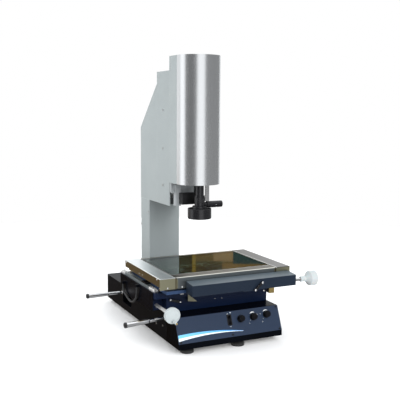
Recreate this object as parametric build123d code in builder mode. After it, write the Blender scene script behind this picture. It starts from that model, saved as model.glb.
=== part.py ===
from build123d import *
import os
from math import cos, degrees, pi, radians, sin, tan

# A manual vision measuring machine: an X-Y glass stage on a cast base, and a video head on a column.
# Millimetres. The origin is on the floor under the middle of the base, +X right, -Y to the operator.

# Fits and gaps
RUN_FIT = 0.05          # radial play of a shaft in its bearing
SLIDE_GAP = 0.3         # between faces that slide past each other
SHEET = 3.0             # folded steel covers

# Base and control box
FOOT_HEIGHT = 18.0
FOOT_RADIUS = 23.0
BASE_HALF = 198.0       # half the width
BASE_HEIGHT = 98.0
BASE_REAR = 374.3
BOX_SEAM = -271.0       # where the control box meets the casting
CASTING_WALL = 12.0
CASTING_CORNER = 6.0
FLOOR_PLATE = 4.0
FLOOR_REBATE = 0.2
POCKET_FRONT = 77.0
POCKET_LENGTH = 98.0
POCKET_BOTTOM = 26.0    # above the underside of the base
POCKET_HEIGHT = 40.0
POCKET_DEPTH = 48.0

# Sloping control panel
PANEL_Y = -377.5
PANEL_RISE = 20.5       # height of the upright lip below the panel
PANEL_LENGTH = 87.0
PANEL_LEAN = 22.75      # degrees back from upright
PANEL_SHEET = 2.5
PANEL_WINDOW = 12.0     # rim of the control box behind the panel
KNOB_PLACES = ((43.0, 56.5), (93.0, 57.5), (146.0, 60.0))
KNOB_NAMES = ("knob_left", "knob_middle", "knob_right")
KNOB_RADIUS = 12.5
KNOB_HEIGHT = 15.0
KNOB_FLUTES = 12
KNOB_LIFT = 0.5         # between the knob and the panel
SPINDLE_RADIUS = 3.0
BUSH_RADIUS = 4.5
BUSH_LENGTH = 14.0
ROCKER_UP = 57.5
ROCKER_WIDTH = 17.0
ROCKER_LENGTH = 37.0
ROCKER_RIM = 2.5
ROCKER_DEPTH = 14.0
ROCKER_THROW = 12.0     # degrees between off and on
ROCKER_PIN = 1.2
LAMP_PLACE = (7.0, 82.0)
LAMP_RADIUS = 2.2

# Fixed bed on the base
BED_FRONT = -270.0
BED_REAR = 56.0
BED_HEIGHT = 57.0
BED_SEAM = 35.0         # height of the groove along the front
PLATE_OVERHANG = 47.5   # of the bed plate past the base, each side
PLATE_FRONT = -286.0
PLATE_REAR = 66.0
PLATE_THICK = 21.0
SIDE_COVER_HEIGHT = 67.0
OPTICAL_Y = -113.0
LIGHT_BORE = 32.0

# Y guides and Y scale
Y_GUIDE_INSET = 48.0    # from the side of the bed block
Y_GUIDE_WIDTH = 12.0
Y_GUIDE_HEIGHT = 4.0
Y_GUIDE_FRONT = -270.0
Y_GUIDE_REAR = 50.0
SCALE_INSET = 1.5       # from the edge of the bed plate
SCALE_WIDTH = 16.0
SCALE_HEIGHT = 10.0
SCALE_FRONT = -224.0
SCALE_REAR = 18.0
SCALE_END = 46.0

# Drive rods
ROD_RADIUS = 6.0
Y_ROD_OUT = 20.0        # from the side of the base
Y_ROD_Z = 21.0          # above the top of the base
Y_ROD_REAR = 57.0
Y_WHEEL_FACE = -373.0
Y_WHEEL_RADIUS = 27.0
BEARING_WIDTH = 24.0
Y_BEARINGS = (-228.0, 22.0)
Y_NUT_FRONT = -164.0
NUT_LENGTH = 24.0
NUT_RADIUS = 11.0
Y_ARM_WIDTH = 8.0
CRANK_THROW = 18.0
CRANK_RADIUS = 4.5
CRANK_LENGTH = 30.0
CRANK_PIN = 2.5

# Travel of the saddle each way from the rest pose
Y_FORWARD = 39.0
Y_BACK = 161.0
SLOT_MARGIN = 3.0

# Saddle
SADDLE_LEFT_OUT = 26.0  # past the side of the base
SADDLE_RIGHT_OUT = 40.0
SADDLE_FRONT = -335.0
SADDLE_REAR = -7.0
SADDLE_THICK = 10.7
SADDLE_WINDOW = 45.0
TONGUE_FRONT = -341.0
TONGUE_WIDTH = 24.0
X_GUIDE_INNER = 121.0
X_GUIDE_WIDTH = 12.0
X_GUIDE_HEIGHT = 7.4
X_GUIDE_INSET = 35.0    # from the end of the stage

# Front cover and X drive, on the saddle
COVER_INSET = 41.0      # from the left side of the base
COVER_END = 3.0         # past the right end of the saddle
COVER_FRONT = -394.0
COVER_LIFT = 0.2        # above the underside of the saddle
COVER_FRONT_HEIGHT = 36.5
COVER_REAR_HEIGHT = 41.5
X_ROD_Y = -367.0
X_ROD_RISE = 1.0        # above the top of the saddle
X_BEARING_WIDTH = 15.0
X_WHEEL_GAP = 35.0      # between the cover and the handwheel
X_WHEEL_RADIUS = 26.0
X_NUT_MIDDLE = 42.0
X_NUT_LENGTH = 36.0

# Stage
STAGE_BORDER = 60.0     # of metal beside the glass
STAGE_FRONT = -338.7
STAGE_REAR = -3.1
STAGE_THICK = 38.0
GLASS_HALF = 190.0
GLASS_THICK = 6.0
GLASS_FRONT = -293.9
GLASS_REAR = -16.0
GLASS_LEDGE = 5.0
REAR_LEDGE = 26.0
GLASS_PLAY = 0.3

# Column and head housing
COLUMN_HALF = 66.4
COLUMN_FRONT = 221.0
COLUMN_REAR = 314.2
COLUMN_HEIGHT = 327.0
HOUSING_FRONT = 10.9
HOUSING_SEAM = 137.0
HOUSING_HEIGHT = 506.5
SLOPE_FOOT = 215.5      # of the rear cover's slope, below the top of the housing
SLOPE_TOP = 44.5
FRAME_BLOCK = 47.0
SPINE_HALF = 60.0
SPINE_FRONT = 54.0
SPINE_REAR = 110.0
SPINE_GAP = 9.5         # below the top of the housing
CHANNEL_HALF = 15.0
CHANNEL_BACK = 95.0
RAIL_MIDDLE = 40.0
RAIL_WIDTH = 15.0
RAIL_HEIGHT = 15.0
RAIL_START = 27.0

# Video head
TUBE_RISE = 93.3        # of the tube's lower edge above the housing's underside
TUBE_RADIUS = 82.3
TUBE_Y = -91.3
TUBE_BACK = -22.2
TUBE_LENGTH = 461.9
TUBE_WALL = 2.0
HEAD_PLATE = 8.0
NECK_HALF = 40.0
SLIDE_PLATE_HALF = 51.0
SLIDE_PLATE_FRONT = 22.0
SLIDE_PLATE_THICK = 12.0
SLIDE_START = 24.0      # above the tube's lower edge
SLIDE_LENGTH = 190.0
RUNNER_LENGTH = 50.0
RUNNER_WALL = 3.5
BARREL_RADIUS = 15.5
GRIP_RADIUS = 18.5
GRIP_TOP = -42.3        # heights below the tube's lower edge
ZOOM_TOP = -48.3
ZOOM_BOTTOM = -66.3
PORT_Z = -76.5
PORT_RADIUS = 9.0
PORT_END = 27.0
COLLAR_TOP = -80.3
COLLAR_RADIUS = 26.5
RING_TOP = -88.9
RING_HEIGHT = 37.8
RING_RADIUS = 43.3
RING_BORE = 24.0
LENS_TIP = -111.0
COAX_RADIUS = 12.0
COAX_END = 90.0

# Z drive
TOOTH_MODULE = 1.0
PINION_TEETH = 14
RACK_LENGTH = 172.0
RACK_HALF = 7.0
AXLE_RADIUS = 5.0
AXLE_RISE = 84.0        # above the tube's lower edge in the rest pose
Z_WHEEL_RADIUS = 35.0
Z_WHEEL_START = 72.0
BACKLASH = 0.15

# Small pieces
SCREW_RADIUS = 3.4
SCREW_HEAD = 1.6
LEVER_RADIUS = 4.5
LEVER_SHAFT = 2.5
LEVER_BORE = 8.0
BAR_LENGTH = 140.0
CABLE_RADIUS = 3.8
LEAD_RADIUS = 2.4
STAGE_EDGE = 1.6        # bright chamfers round the top of the stage

# Heights and places that follow from the sizes above
BASE_BOTTOM = FOOT_HEIGHT
CAVITY_LEFT = -BASE_HALF + POCKET_DEPTH + 10
PLATE_HALF = BASE_HALF + PLATE_OVERHANG
Y_GUIDE_INNER = BASE_HALF - Y_GUIDE_INSET
SCALE_LEFT = -PLATE_HALF + SCALE_INSET
Y_ROD_X = -BASE_HALF - Y_ROD_OUT
SADDLE_LEFT = -BASE_HALF - SADDLE_LEFT_OUT
SADDLE_RIGHT = BASE_HALF + SADDLE_RIGHT_OUT
COVER_LEFT = -BASE_HALF + COVER_INSET
COVER_RIGHT = SADDLE_RIGHT + COVER_END
LEFT_TONGUE = COVER_LEFT + 2
RIGHT_TONGUE = SADDLE_RIGHT - TONGUE_WIDTH
X_WHEEL_START = COVER_RIGHT + X_WHEEL_GAP
BASE_TOP = BASE_BOTTOM + BASE_HEIGHT
BED_TOP = BASE_TOP + BED_HEIGHT
PLATE_TOP = BED_TOP + PLATE_THICK
SADDLE_BOTTOM = PLATE_TOP + Y_GUIDE_HEIGHT + SLIDE_GAP
SADDLE_TOP = SADDLE_BOTTOM + SADDLE_THICK
STAGE_BOTTOM = SADDLE_TOP + X_GUIDE_HEIGHT + SLIDE_GAP
STAGE_TOP = STAGE_BOTTOM + STAGE_THICK
STAGE_Y = (STAGE_FRONT + STAGE_REAR) / 2
STAGE_HALF = GLASS_HALF + STAGE_BORDER
X_GUIDE_HALF = STAGE_HALF - X_GUIDE_INSET
HOUSING_BOTTOM = BASE_TOP + COLUMN_HEIGHT
HOUSING_TOP = HOUSING_BOTTOM + HOUSING_HEIGHT
SPINE_TOP = HOUSING_TOP - SPINE_GAP
HOUSING_INNER = COLUMN_HALF - SHEET
TUBE_BOTTOM = HOUSING_BOTTOM + TUBE_RISE
TUBE_TOP = TUBE_BOTTOM + TUBE_LENGTH
Y_ROD_HEIGHT = BASE_TOP + Y_ROD_Z
X_ROD_HEIGHT = SADDLE_TOP + X_ROD_RISE
PITCH_RADIUS = TOOTH_MODULE * PINION_TEETH / 2
AXLE_Z = TUBE_BOTTOM + AXLE_RISE
SLIDE_BACK = SLIDE_PLATE_FRONT + SLIDE_PLATE_THICK
RAIL_FRONT = SPINE_FRONT - RAIL_HEIGHT
AXLE_Y = SPINE_FRONT + AXLE_RADIUS + 5.0
RACK_PITCH_Y = AXLE_Y - PITCH_RADIUS

# The control panel's own plane: x to the right, y up the slope, z out of the panel
LEAN = radians(PANEL_LEAN)
PANEL_FOOT_Z = BASE_BOTTOM + PANEL_RISE
PANEL = Plane(origin=(0, PANEL_Y, PANEL_FOOT_Z), x_dir=(1, 0, 0), z_dir=(0, -cos(LEAN), sin(LEAN)))
BOX_TOP = PANEL_FOOT_Z + PANEL_LENGTH * cos(LEAN)

Y_LEVER = (-BASE_HALF + 49.0, BASE_TOP + 36.0)
RIGHTWARD = (1, 0, 0)
LEFTWARD = (-1, 0, 0)
FORWARD = (0, -1, 0)
BACKWARD = (0, 1, 0)
UPWARD = (0, 0, 1)

os.makedirs("parts", exist_ok=True)


def slab(x_span, y_span, z_span, mode=Mode.ADD):
    """A square-edged slab between two places on each axis."""
    spans = (x_span, y_span, z_span)
    middle = [(low + high) / 2 for low, high in spans]
    size = [high - low for low, high in spans]
    with Locations(tuple(middle)):
        Box(*size, mode=mode)


def pin(start, way, radius, length, mode=Mode.ADD):
    """A round pin, or a bore, that starts at a point and runs one way."""
    with Locations(Plane(origin=start, z_dir=way)):
        Cylinder(radius, length, align=(Align.CENTER, Align.CENTER, Align.MIN), mode=mode)


def turned(centre, way, profile, mode=Mode.ADD):
    """A turned piece: points (distance along the axis, radius) spun about the axis."""
    across = (0, 0, 1) if way[2] == 0 else (1, 0, 0)
    half = Plane(origin=centre, x_dir=way, z_dir=Vector(*way).cross(Vector(*across)))
    with BuildSketch(half) as outline:
        with BuildLine():
            Polyline(*profile, close=True)
        make_face()
    revolve(outline.sketch, axis=Axis(centre, way), mode=mode)


def screw(place, way, radius=SCREW_RADIUS, head=SCREW_HEAD):
    """A low round screw head with a hexagon socket, seated on a face."""
    face = Plane(origin=place, z_dir=way)
    with Locations(face):
        Cylinder(radius, head, align=(Align.CENTER, Align.CENTER, Align.MIN))
    with BuildSketch(face.offset(head)) as socket:
        RegularPolygon(radius * 0.5, 6)
    extrude(socket.sketch, amount=-head * 0.6, mode=Mode.SUBTRACT)


def panel_point(up, depth):
    """A point of the panel's slope in the Y-Z plane, some way up it and behind its face."""
    return (PANEL_Y + up * sin(LEAN) + depth * cos(LEAN), PANEL_FOOT_Z + up * cos(LEAN) - depth * sin(LEAN))


# Cast iron base, open below, with a blind pocket in its thick left wall
INLET_X = 120.0
INLET_Z = BASE_BOTTOM + 42.0
INLET_HALF = (15.0, 11.0)
SOCKETS_X = (20.0, 60.0)
SOCKET_RADIUS = 8.0
with BuildPart() as base_casting:
    slab((-BASE_HALF, BASE_HALF), (BOX_SEAM, BASE_REAR), (BASE_BOTTOM, BASE_TOP))
    fillet(base_casting.edges().filter_by(Axis.Z).group_by(Axis.Y)[-1], CASTING_CORNER)
    slab((-BASE_HALF + SHEET, BASE_HALF - SHEET), (BOX_SEAM, BASE_REAR - SHEET),
         (BASE_BOTTOM, BASE_BOTTOM + FLOOR_PLATE), mode=Mode.SUBTRACT)
    slab((CAVITY_LEFT, BASE_HALF - CASTING_WALL), (BOX_SEAM + CASTING_WALL, BASE_REAR - CASTING_WALL),
         (BASE_BOTTOM, BASE_TOP - CASTING_WALL), mode=Mode.SUBTRACT)
    with BuildSketch(Plane.YZ.offset(-BASE_HALF)):
        with Locations((POCKET_FRONT + POCKET_LENGTH / 2, BASE_BOTTOM + POCKET_BOTTOM + POCKET_HEIGHT / 2)):
            RectangleRounded(POCKET_LENGTH, POCKET_HEIGHT, CASTING_CORNER)
    extrude(amount=POCKET_DEPTH, mode=Mode.SUBTRACT)
    slab((INLET_X - INLET_HALF[0], INLET_X + INLET_HALF[0]), (BASE_REAR - CASTING_WALL, BASE_REAR),
         (INLET_Z - INLET_HALF[1], INLET_Z + INLET_HALF[1]), mode=Mode.SUBTRACT)
    for x in SOCKETS_X:
        pin((x, BASE_REAR, INLET_Z), FORWARD, SOCKET_RADIUS, CASTING_WALL, mode=Mode.SUBTRACT)
base_casting.part.label = "base_casting"
export_step(base_casting.part, "parts/base_casting.step")

# Steel floor plate that closes the base and the control box, and the feet screwed into it
FOOT_X = BASE_HALF - 41.0
FOOT_REAR = BASE_REAR - 44.3
FEET = ((-FOOT_X, PANEL_Y + 27.5), (33.0, PANEL_Y + 22.5), (FOOT_X, PANEL_Y + 162.5), (-FOOT_X, FOOT_REAR),
        (FOOT_X, FOOT_REAR))
STUD_RADIUS = 5.0
with BuildPart() as floor_plate:
    slab((-BASE_HALF + SHEET + FLOOR_REBATE, BASE_HALF - SHEET - FLOOR_REBATE),
         (PANEL_Y + SHEET + FLOOR_REBATE, BASE_REAR - SHEET - FLOOR_REBATE),
         (BASE_BOTTOM, BASE_BOTTOM + FLOOR_PLATE))
    for x, y in FEET:
        pin((x, y, BASE_BOTTOM), UPWARD, STUD_RADIUS, FLOOR_PLATE, mode=Mode.SUBTRACT)
floor_plate.part.label = "floor_plate"
export_step(floor_plate.part, "parts/floor_plate.step")

with BuildPart() as levelling_feet:
    for x, y in FEET:
        turned((x, y, 0), UPWARD, (
            (0, 0), (0, FOOT_RADIUS - 1), (1, FOOT_RADIUS), (9, FOOT_RADIUS), (12, FOOT_RADIUS - 6),
            (12, 11), (FOOT_HEIGHT, 11), (FOOT_HEIGHT, STUD_RADIUS), (FOOT_HEIGHT + FLOOR_PLATE, STUD_RADIUS),
            (FOOT_HEIGHT + FLOOR_PLATE, 0)))
levelling_feet.part.label = "levelling_feet"
export_step(levelling_feet.part, "parts/levelling_feet.step")

# Folded sheet housing in front of the casting, open behind and below
box_depth = PANEL_SHEET + SHEET
lip_up = (SHEET - box_depth * cos(LEAN)) / sin(LEAN)
top_up = (BOX_TOP - SHEET - PANEL_FOOT_Z + box_depth * sin(LEAN)) / cos(LEAN)
with BuildPart() as control_box:
    with BuildSketch(Plane.YZ):
        with BuildLine():
            Polyline((BOX_SEAM, BASE_BOTTOM), (PANEL_Y, BASE_BOTTOM), (PANEL_Y, PANEL_FOOT_Z),
                     panel_point(0, PANEL_SHEET), panel_point(PANEL_LENGTH, PANEL_SHEET),
                     panel_point(PANEL_LENGTH, 0), (BOX_SEAM, BOX_TOP), close=True)
        make_face()
    extrude(amount=BASE_HALF, both=True)
    with BuildSketch(Plane.YZ):
        with BuildLine():
            Polyline((BOX_SEAM, BASE_BOTTOM), (PANEL_Y + SHEET, BASE_BOTTOM), panel_point(lip_up, box_depth),
                     panel_point(top_up, box_depth), (BOX_SEAM, BOX_TOP - SHEET), close=True)
        make_face()
    extrude(amount=BASE_HALF - SHEET, both=True, mode=Mode.SUBTRACT)
    with BuildSketch(PANEL.offset(-box_depth)):
        with Locations((0, PANEL_LENGTH / 2)):
            Rectangle(2 * (BASE_HALF - PANEL_WINDOW), PANEL_LENGTH - 2 * PANEL_WINDOW)
    extrude(amount=SHEET, mode=Mode.SUBTRACT)
control_box.part.label = "control_box"
export_step(control_box.part, "parts/control_box.step")

# Painted panel screwed on the slope, pierced for the rocker switch, the lamp and three knobs
with BuildPart() as control_panel:
    with BuildSketch(PANEL.offset(-PANEL_SHEET)):
        with Locations((0, PANEL_LENGTH / 2)):
            Rectangle(2 * BASE_HALF, PANEL_LENGTH)
        with Locations(*KNOB_PLACES):
            Circle(BUSH_RADIUS, mode=Mode.SUBTRACT)
        with Locations((0, ROCKER_UP)):
            Rectangle(ROCKER_WIDTH - 2, ROCKER_LENGTH - 2, mode=Mode.SUBTRACT)
        with Locations(LAMP_PLACE):
            Circle(LAMP_RADIUS, mode=Mode.SUBTRACT)
    extrude(amount=PANEL_SHEET)
control_panel.part.label = "control_panel"
export_step(control_panel.part, "parts/control_panel.step")

with BuildPart() as panel_lamp:
    with BuildSketch(PANEL.offset(-PANEL_SHEET)):
        with Locations(LAMP_PLACE):
            Circle(LAMP_RADIUS)
    extrude(amount=PANEL_SHEET + 1.2)
    fillet(panel_lamp.edges().group_by(Axis.Z)[-1], 0.8)

# Rocker switch: a frame snapped into the panel, and the paddle on its cross pin
paddle_half = ROCKER_LENGTH / 2 - ROCKER_RIM - 1.1
paddle_width = ROCKER_WIDTH - 2 * ROCKER_RIM - 2 * SLIDE_GAP
rocker_pivot = PANEL * Location((0, ROCKER_UP, -4.0))
with BuildPart() as rocker_frame:
    with BuildSketch(PANEL):
        with Locations((0, ROCKER_UP)):
            RectangleRounded(ROCKER_WIDTH, ROCKER_LENGTH, 2.0)
    extrude(amount=1.5)
    with BuildSketch(PANEL):
        with Locations((0, ROCKER_UP)):
            Rectangle(ROCKER_WIDTH - 2, ROCKER_LENGTH - 2)
    extrude(amount=-ROCKER_DEPTH)
    with BuildSketch(PANEL.offset(1.5)):
        with Locations((0, ROCKER_UP)):
            Rectangle(ROCKER_WIDTH - 2 * ROCKER_RIM, ROCKER_LENGTH - 2 * ROCKER_RIM)
    extrude(amount=-ROCKER_DEPTH, mode=Mode.SUBTRACT)
    pin(rocker_pivot.position - Vector(ROCKER_WIDTH / 2 - 1.6, 0, 0), RIGHTWARD, ROCKER_PIN + RUN_FIT,
        ROCKER_WIDTH - 3.2, mode=Mode.SUBTRACT)

tilt = LEAN + radians(ROCKER_THROW / 2)
paddle_plane = Plane(origin=rocker_pivot.position, x_dir=(0, sin(tilt), cos(tilt)), z_dir=(-1, 0, 0))
with BuildPart() as power_rocker:
    with BuildSketch(paddle_plane) as paddle_outline:
        with BuildLine():
            Polyline((-paddle_half, 7.0), (0, 5.0), (paddle_half, 7.0), (paddle_half - 2.2, 0),
                     (4, -4.5), (-4, -4.5), (-paddle_half + 2.2, 0), close=True)
        make_face()
    extrude(amount=paddle_width / 2, both=True)
    pin(rocker_pivot.position - Vector(ROCKER_WIDTH / 2 - 2, 0, 0), RIGHTWARD, ROCKER_PIN, ROCKER_WIDTH - 4)
power_rocker.part.label = "power_rocker"
export_step(power_rocker.part, "parts/power_rocker.step")

# Brightness controls: the threaded bodies behind the panel, and the fluted knobs on their spindles
with BuildPart() as potentiometers:
    for x, up in KNOB_PLACES:
        with BuildSketch(PANEL.offset(-PANEL_SHEET)):
            with Locations((x, up)):
                Circle(10.0)
        extrude(amount=-BUSH_LENGTH)
        with BuildSketch(PANEL.offset(-PANEL_SHEET)):
            with Locations((x, up)):
                Circle(BUSH_RADIUS)
        extrude(amount=PANEL_SHEET)
        with BuildSketch(PANEL.offset(-BUSH_LENGTH)):
            with Locations((x, up)):
                Circle(SPINDLE_RADIUS + RUN_FIT)
        extrude(amount=BUSH_LENGTH, mode=Mode.SUBTRACT)
panel_fittings_group = Compound(label="panel_fittings", children=[panel_lamp.part, rocker_frame.part, potentiometers.part])
export_step(panel_fittings_group, "parts/panel_fittings.step")

for knob_name, (x, up) in zip(KNOB_NAMES, KNOB_PLACES):
    with BuildPart() as knob:
        with BuildSketch(PANEL.offset(KNOB_LIFT)):
            with Locations((x, up)):
                Circle(KNOB_RADIUS)
        extrude(amount=3.0)
        with BuildSketch(PANEL.offset(KNOB_LIFT + 3.0)):
            with Locations((x, up)):
                Circle(KNOB_RADIUS - 1.5)
                with PolarLocations(KNOB_RADIUS - 0.7, KNOB_FLUTES):
                    Circle(1.6, mode=Mode.SUBTRACT)
        extrude(amount=KNOB_HEIGHT - 3.0)
        with BuildSketch(PANEL.offset(KNOB_LIFT + KNOB_HEIGHT)):
            with Locations((x, up + KNOB_RADIUS / 2)):
                Rectangle(1.6, KNOB_RADIUS - 3.0)
        extrude(amount=-0.5, mode=Mode.SUBTRACT)
        with BuildSketch(PANEL.offset(KNOB_LIFT)):
            with Locations((x, up)):
                Circle(SPINDLE_RADIUS)
        extrude(amount=-BUSH_LENGTH + 1.0)
    knob.part.label = knob_name
    export_step(knob.part, f"parts/{knob_name}.step")

# Bed block with the light well, and the wide plate on it
arm_left = Y_ROD_X + NUT_RADIUS - Y_ARM_WIDTH + 3.0
with BuildPart() as bed_block:
    slab((-BASE_HALF, BASE_HALF), (BED_FRONT, BED_REAR), (BASE_TOP, BED_TOP))
    chamfer(bed_block.edges().filter_by(Axis.Z), 2.0)
    slab((-BASE_HALF, BASE_HALF), (BED_FRONT, BED_FRONT + 0.8),
         (BASE_TOP + BED_SEAM, BASE_TOP + BED_SEAM + 1.0), mode=Mode.SUBTRACT)
    pin((0, OPTICAL_Y, BASE_TOP), UPWARD, LIGHT_BORE, BED_HEIGHT, mode=Mode.SUBTRACT)
    pin((Y_LEVER[0], BED_FRONT, Y_LEVER[1]), BACKWARD, LEVER_SHAFT + RUN_FIT, LEVER_BORE, mode=Mode.SUBTRACT)
bed_block.part.label = "bed_block"
export_step(bed_block.part, "parts/bed_block.step")

with BuildPart() as bed_plate:
    slab((-PLATE_HALF, PLATE_HALF), (PLATE_FRONT, PLATE_REAR), (BED_TOP, PLATE_TOP))
    chamfer(bed_plate.edges().group_by(Axis.Z)[-1], 1.5)
    pin((0, OPTICAL_Y, BED_TOP), UPWARD, LIGHT_BORE, PLATE_THICK, mode=Mode.SUBTRACT)
    slab((arm_left - SLOT_MARGIN, arm_left + Y_ARM_WIDTH + SLOT_MARGIN),
         (Y_NUT_FRONT - Y_FORWARD - SLOT_MARGIN, Y_NUT_FRONT + NUT_LENGTH + Y_BACK + SLOT_MARGIN),
         (BED_TOP, PLATE_TOP), mode=Mode.SUBTRACT)
bed_plate.part.label = "bed_plate"
export_step(bed_plate.part, "parts/bed_plate.step")

# Contour light in the well: a finned body, the condenser lens and its retaining ring
with BuildPart() as contour_light:
    turned((0, OPTICAL_Y, BASE_TOP), UPWARD, (
        (0, 0), (0, LIGHT_BORE - 4), (8, LIGHT_BORE - 4), (8, 12), (40, 12), (44, LIGHT_BORE - 6),
        (64, LIGHT_BORE - 6), (64, 0)))
    turned((0, OPTICAL_Y, BASE_TOP), UPWARD, (
        (52, LIGHT_BORE - 6), (52, LIGHT_BORE), (56, LIGHT_BORE), (56, LIGHT_BORE - 6)))

with BuildPart() as condenser_lens:
    turned((0, OPTICAL_Y, BASE_TOP + 64), UPWARD, (
        (0, 0), (0, LIGHT_BORE - 7), (2, LIGHT_BORE - 7), (5, LIGHT_BORE - 12), (7, LIGHT_BORE - 19), (8, 0)))
contour_light_group = Compound(label="contour_light", children=[contour_light.part, condenser_lens.part])
export_step(contour_light_group, "parts/contour_light.step")

# Sheet cover that hangs from the left edge of the bed plate and hides the Y rod
with BuildPart() as left_cover:
    with BuildSketch(Plane.YZ.offset(-PLATE_HALF)):
        with Locations(((BED_FRONT + BED_REAR) / 2, PLATE_TOP - SIDE_COVER_HEIGHT / 2)):
            RectangleRounded(BED_REAR - BED_FRONT, SIDE_COVER_HEIGHT, 4.0)
    extrude(amount=-SHEET)

with BuildPart() as y_guide_bars:
    for side in (-1, 1):
        with Locations((side * (Y_GUIDE_INNER + Y_GUIDE_WIDTH / 2), (Y_GUIDE_FRONT + Y_GUIDE_REAR) / 2,
                        PLATE_TOP + Y_GUIDE_HEIGHT / 2)):
            Box(Y_GUIDE_WIDTH, Y_GUIDE_REAR - Y_GUIDE_FRONT, Y_GUIDE_HEIGHT)
y_guide_bars.part.label = "y_guide_bars"
export_step(y_guide_bars.part, "parts/y_guide_bars.step")

# Y linear scale: an extruded channel with a slit for the reader, held by two chrome end blocks
with BuildPart() as y_scale:
    with BuildSketch(Plane.XZ.offset(-SCALE_REAR)):
        with Locations((SCALE_LEFT + SCALE_WIDTH / 2, PLATE_TOP + SCALE_HEIGHT / 2)):
            Rectangle(SCALE_WIDTH, SCALE_HEIGHT)
        with Locations((SCALE_LEFT + SCALE_WIDTH - 5.0, PLATE_TOP + SCALE_HEIGHT - 2.0)):
            Rectangle(3.0, 4.0, mode=Mode.SUBTRACT)
    extrude(amount=SCALE_REAR - SCALE_FRONT)

with BuildPart() as y_scale_ends:
    for start in (SCALE_FRONT - SCALE_END, SCALE_REAR):
        slab((SCALE_LEFT, SCALE_LEFT + SCALE_WIDTH), (start, start + SCALE_END), (PLATE_TOP, PLATE_TOP + SCALE_HEIGHT - 3))
    chamfer(y_scale_ends.edges().group_by(Axis.Z)[-1], 1.0)
    for start in (SCALE_FRONT - SCALE_END, SCALE_REAR):
        for x_shift in (4.3, SCALE_WIDTH - 4.3):
            for y_shift in (7, SCALE_END / 2, SCALE_END - 7):
                turned((SCALE_LEFT + x_shift, start + y_shift, PLATE_TOP + SCALE_HEIGHT - 3), UPWARD, (
                    (0, 0), (0, 3.8), (1.5, 3.6), (2.7, 2.4), (3, 1.6), (1.5, 1.6), (1.5, 0)))
y_scale_group = Compound(label="y_scale", children=[y_scale.part, y_scale_ends.part])
export_step(y_scale_group, "parts/y_scale.step")

# Y drive: bearing blocks on the bed's left side, the polished rod, and the white handwheel
with BuildPart() as y_bearing_blocks:
    for start in Y_BEARINGS:
        slab((Y_ROD_X - 3 * ROD_RADIUS, -BASE_HALF), (start, start + BEARING_WIDTH),
             (Y_ROD_HEIGHT - 3 * ROD_RADIUS, Y_ROD_HEIGHT + 3 * ROD_RADIUS))
        pin((Y_ROD_X, start, Y_ROD_HEIGHT), BACKWARD, ROD_RADIUS + RUN_FIT, BEARING_WIDTH, mode=Mode.SUBTRACT)
    chamfer(y_bearing_blocks.edges().filter_by(Axis.Y).group_by(Axis.X)[0], 4.0)
y_bearing_blocks.part.label = "y_bearing_blocks"
export_step(y_bearing_blocks.part, "parts/y_bearing_blocks.step")

with BuildPart() as y_drive_rod:
    pin((Y_ROD_X, Y_ROD_REAR, Y_ROD_HEIGHT), FORWARD, ROD_RADIUS, Y_ROD_REAR - Y_WHEEL_FACE - 5.0)
    chamfer(y_drive_rod.edges(), 0.8)
y_drive_rod.part.label = "y_drive_rod"
export_step(y_drive_rod.part, "parts/y_drive_rod.step")

with BuildPart() as y_handwheel:
    turned((Y_ROD_X, Y_WHEEL_FACE, Y_ROD_HEIGHT), BACKWARD, (
        (1.5, 0), (1.5, Y_WHEEL_RADIUS - 5), (0, Y_WHEEL_RADIUS - 4), (0, Y_WHEEL_RADIUS - 1.5),
        (1.5, Y_WHEEL_RADIUS), (12, Y_WHEEL_RADIUS), (14, Y_WHEEL_RADIUS - 2), (14, 12), (16, 9.5), (28, 9.5),
        (28, ROD_RADIUS), (5, ROD_RADIUS), (5, 0)))
    pin((Y_ROD_X, Y_WHEEL_FACE + 1.5, Y_ROD_HEIGHT - CRANK_THROW), BACKWARD, CRANK_PIN, 8.0, mode=Mode.SUBTRACT)

# Crank on the Y handwheel: a brass pin with a head, and the sleeve that turns on it
crank_centre = (Y_ROD_X, Y_WHEEL_FACE, Y_ROD_HEIGHT - CRANK_THROW)
with BuildPart() as y_crank_pin:
    turned(crank_centre, FORWARD, (
        (-9.5, 0), (-9.5, CRANK_PIN), (CRANK_LENGTH + 0.6, CRANK_PIN), (CRANK_LENGTH + 0.6, CRANK_RADIUS - 1),
        (CRANK_LENGTH + 2.6, CRANK_RADIUS - 1.4), (CRANK_LENGTH + 2.6, 0)))
y_handwheel_group = Compound(label="y_handwheel", children=[y_handwheel.part, y_crank_pin.part])
export_step(y_handwheel_group, "parts/y_handwheel.step")

with BuildPart() as y_crank_sleeve:
    turned(crank_centre, FORWARD, (
        (0.3, CRANK_PIN + RUN_FIT), (0.3, CRANK_RADIUS - 0.8), (CRANK_LENGTH - 2, CRANK_RADIUS),
        (CRANK_LENGTH + 0.3, CRANK_RADIUS - 1), (CRANK_LENGTH + 0.3, CRANK_PIN + RUN_FIT)))
y_crank_sleeve.part.label = "y_crank_sleeve"
export_step(y_crank_sleeve.part, "parts/y_crank_sleeve.step")

# Saddle: a windowed plate that slides in Y, with two tongues that carry the front cover
with BuildPart() as saddle_plate:
    slab((SADDLE_LEFT, SADDLE_RIGHT), (SADDLE_FRONT, SADDLE_REAR), (SADDLE_BOTTOM, SADDLE_TOP))
    for start in (LEFT_TONGUE, RIGHT_TONGUE):
        slab((start, start + TONGUE_WIDTH), (TONGUE_FRONT, SADDLE_FRONT), (SADDLE_BOTTOM, SADDLE_TOP))
    slab((-SADDLE_WINDOW, SADDLE_WINDOW), (STAGE_Y - X_GUIDE_INNER + 1, STAGE_Y + X_GUIDE_INNER - 1),
         (SADDLE_BOTTOM, SADDLE_TOP), mode=Mode.SUBTRACT)
saddle_plate.part.label = "saddle_plate"
export_step(saddle_plate.part, "parts/saddle_plate.step")

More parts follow.
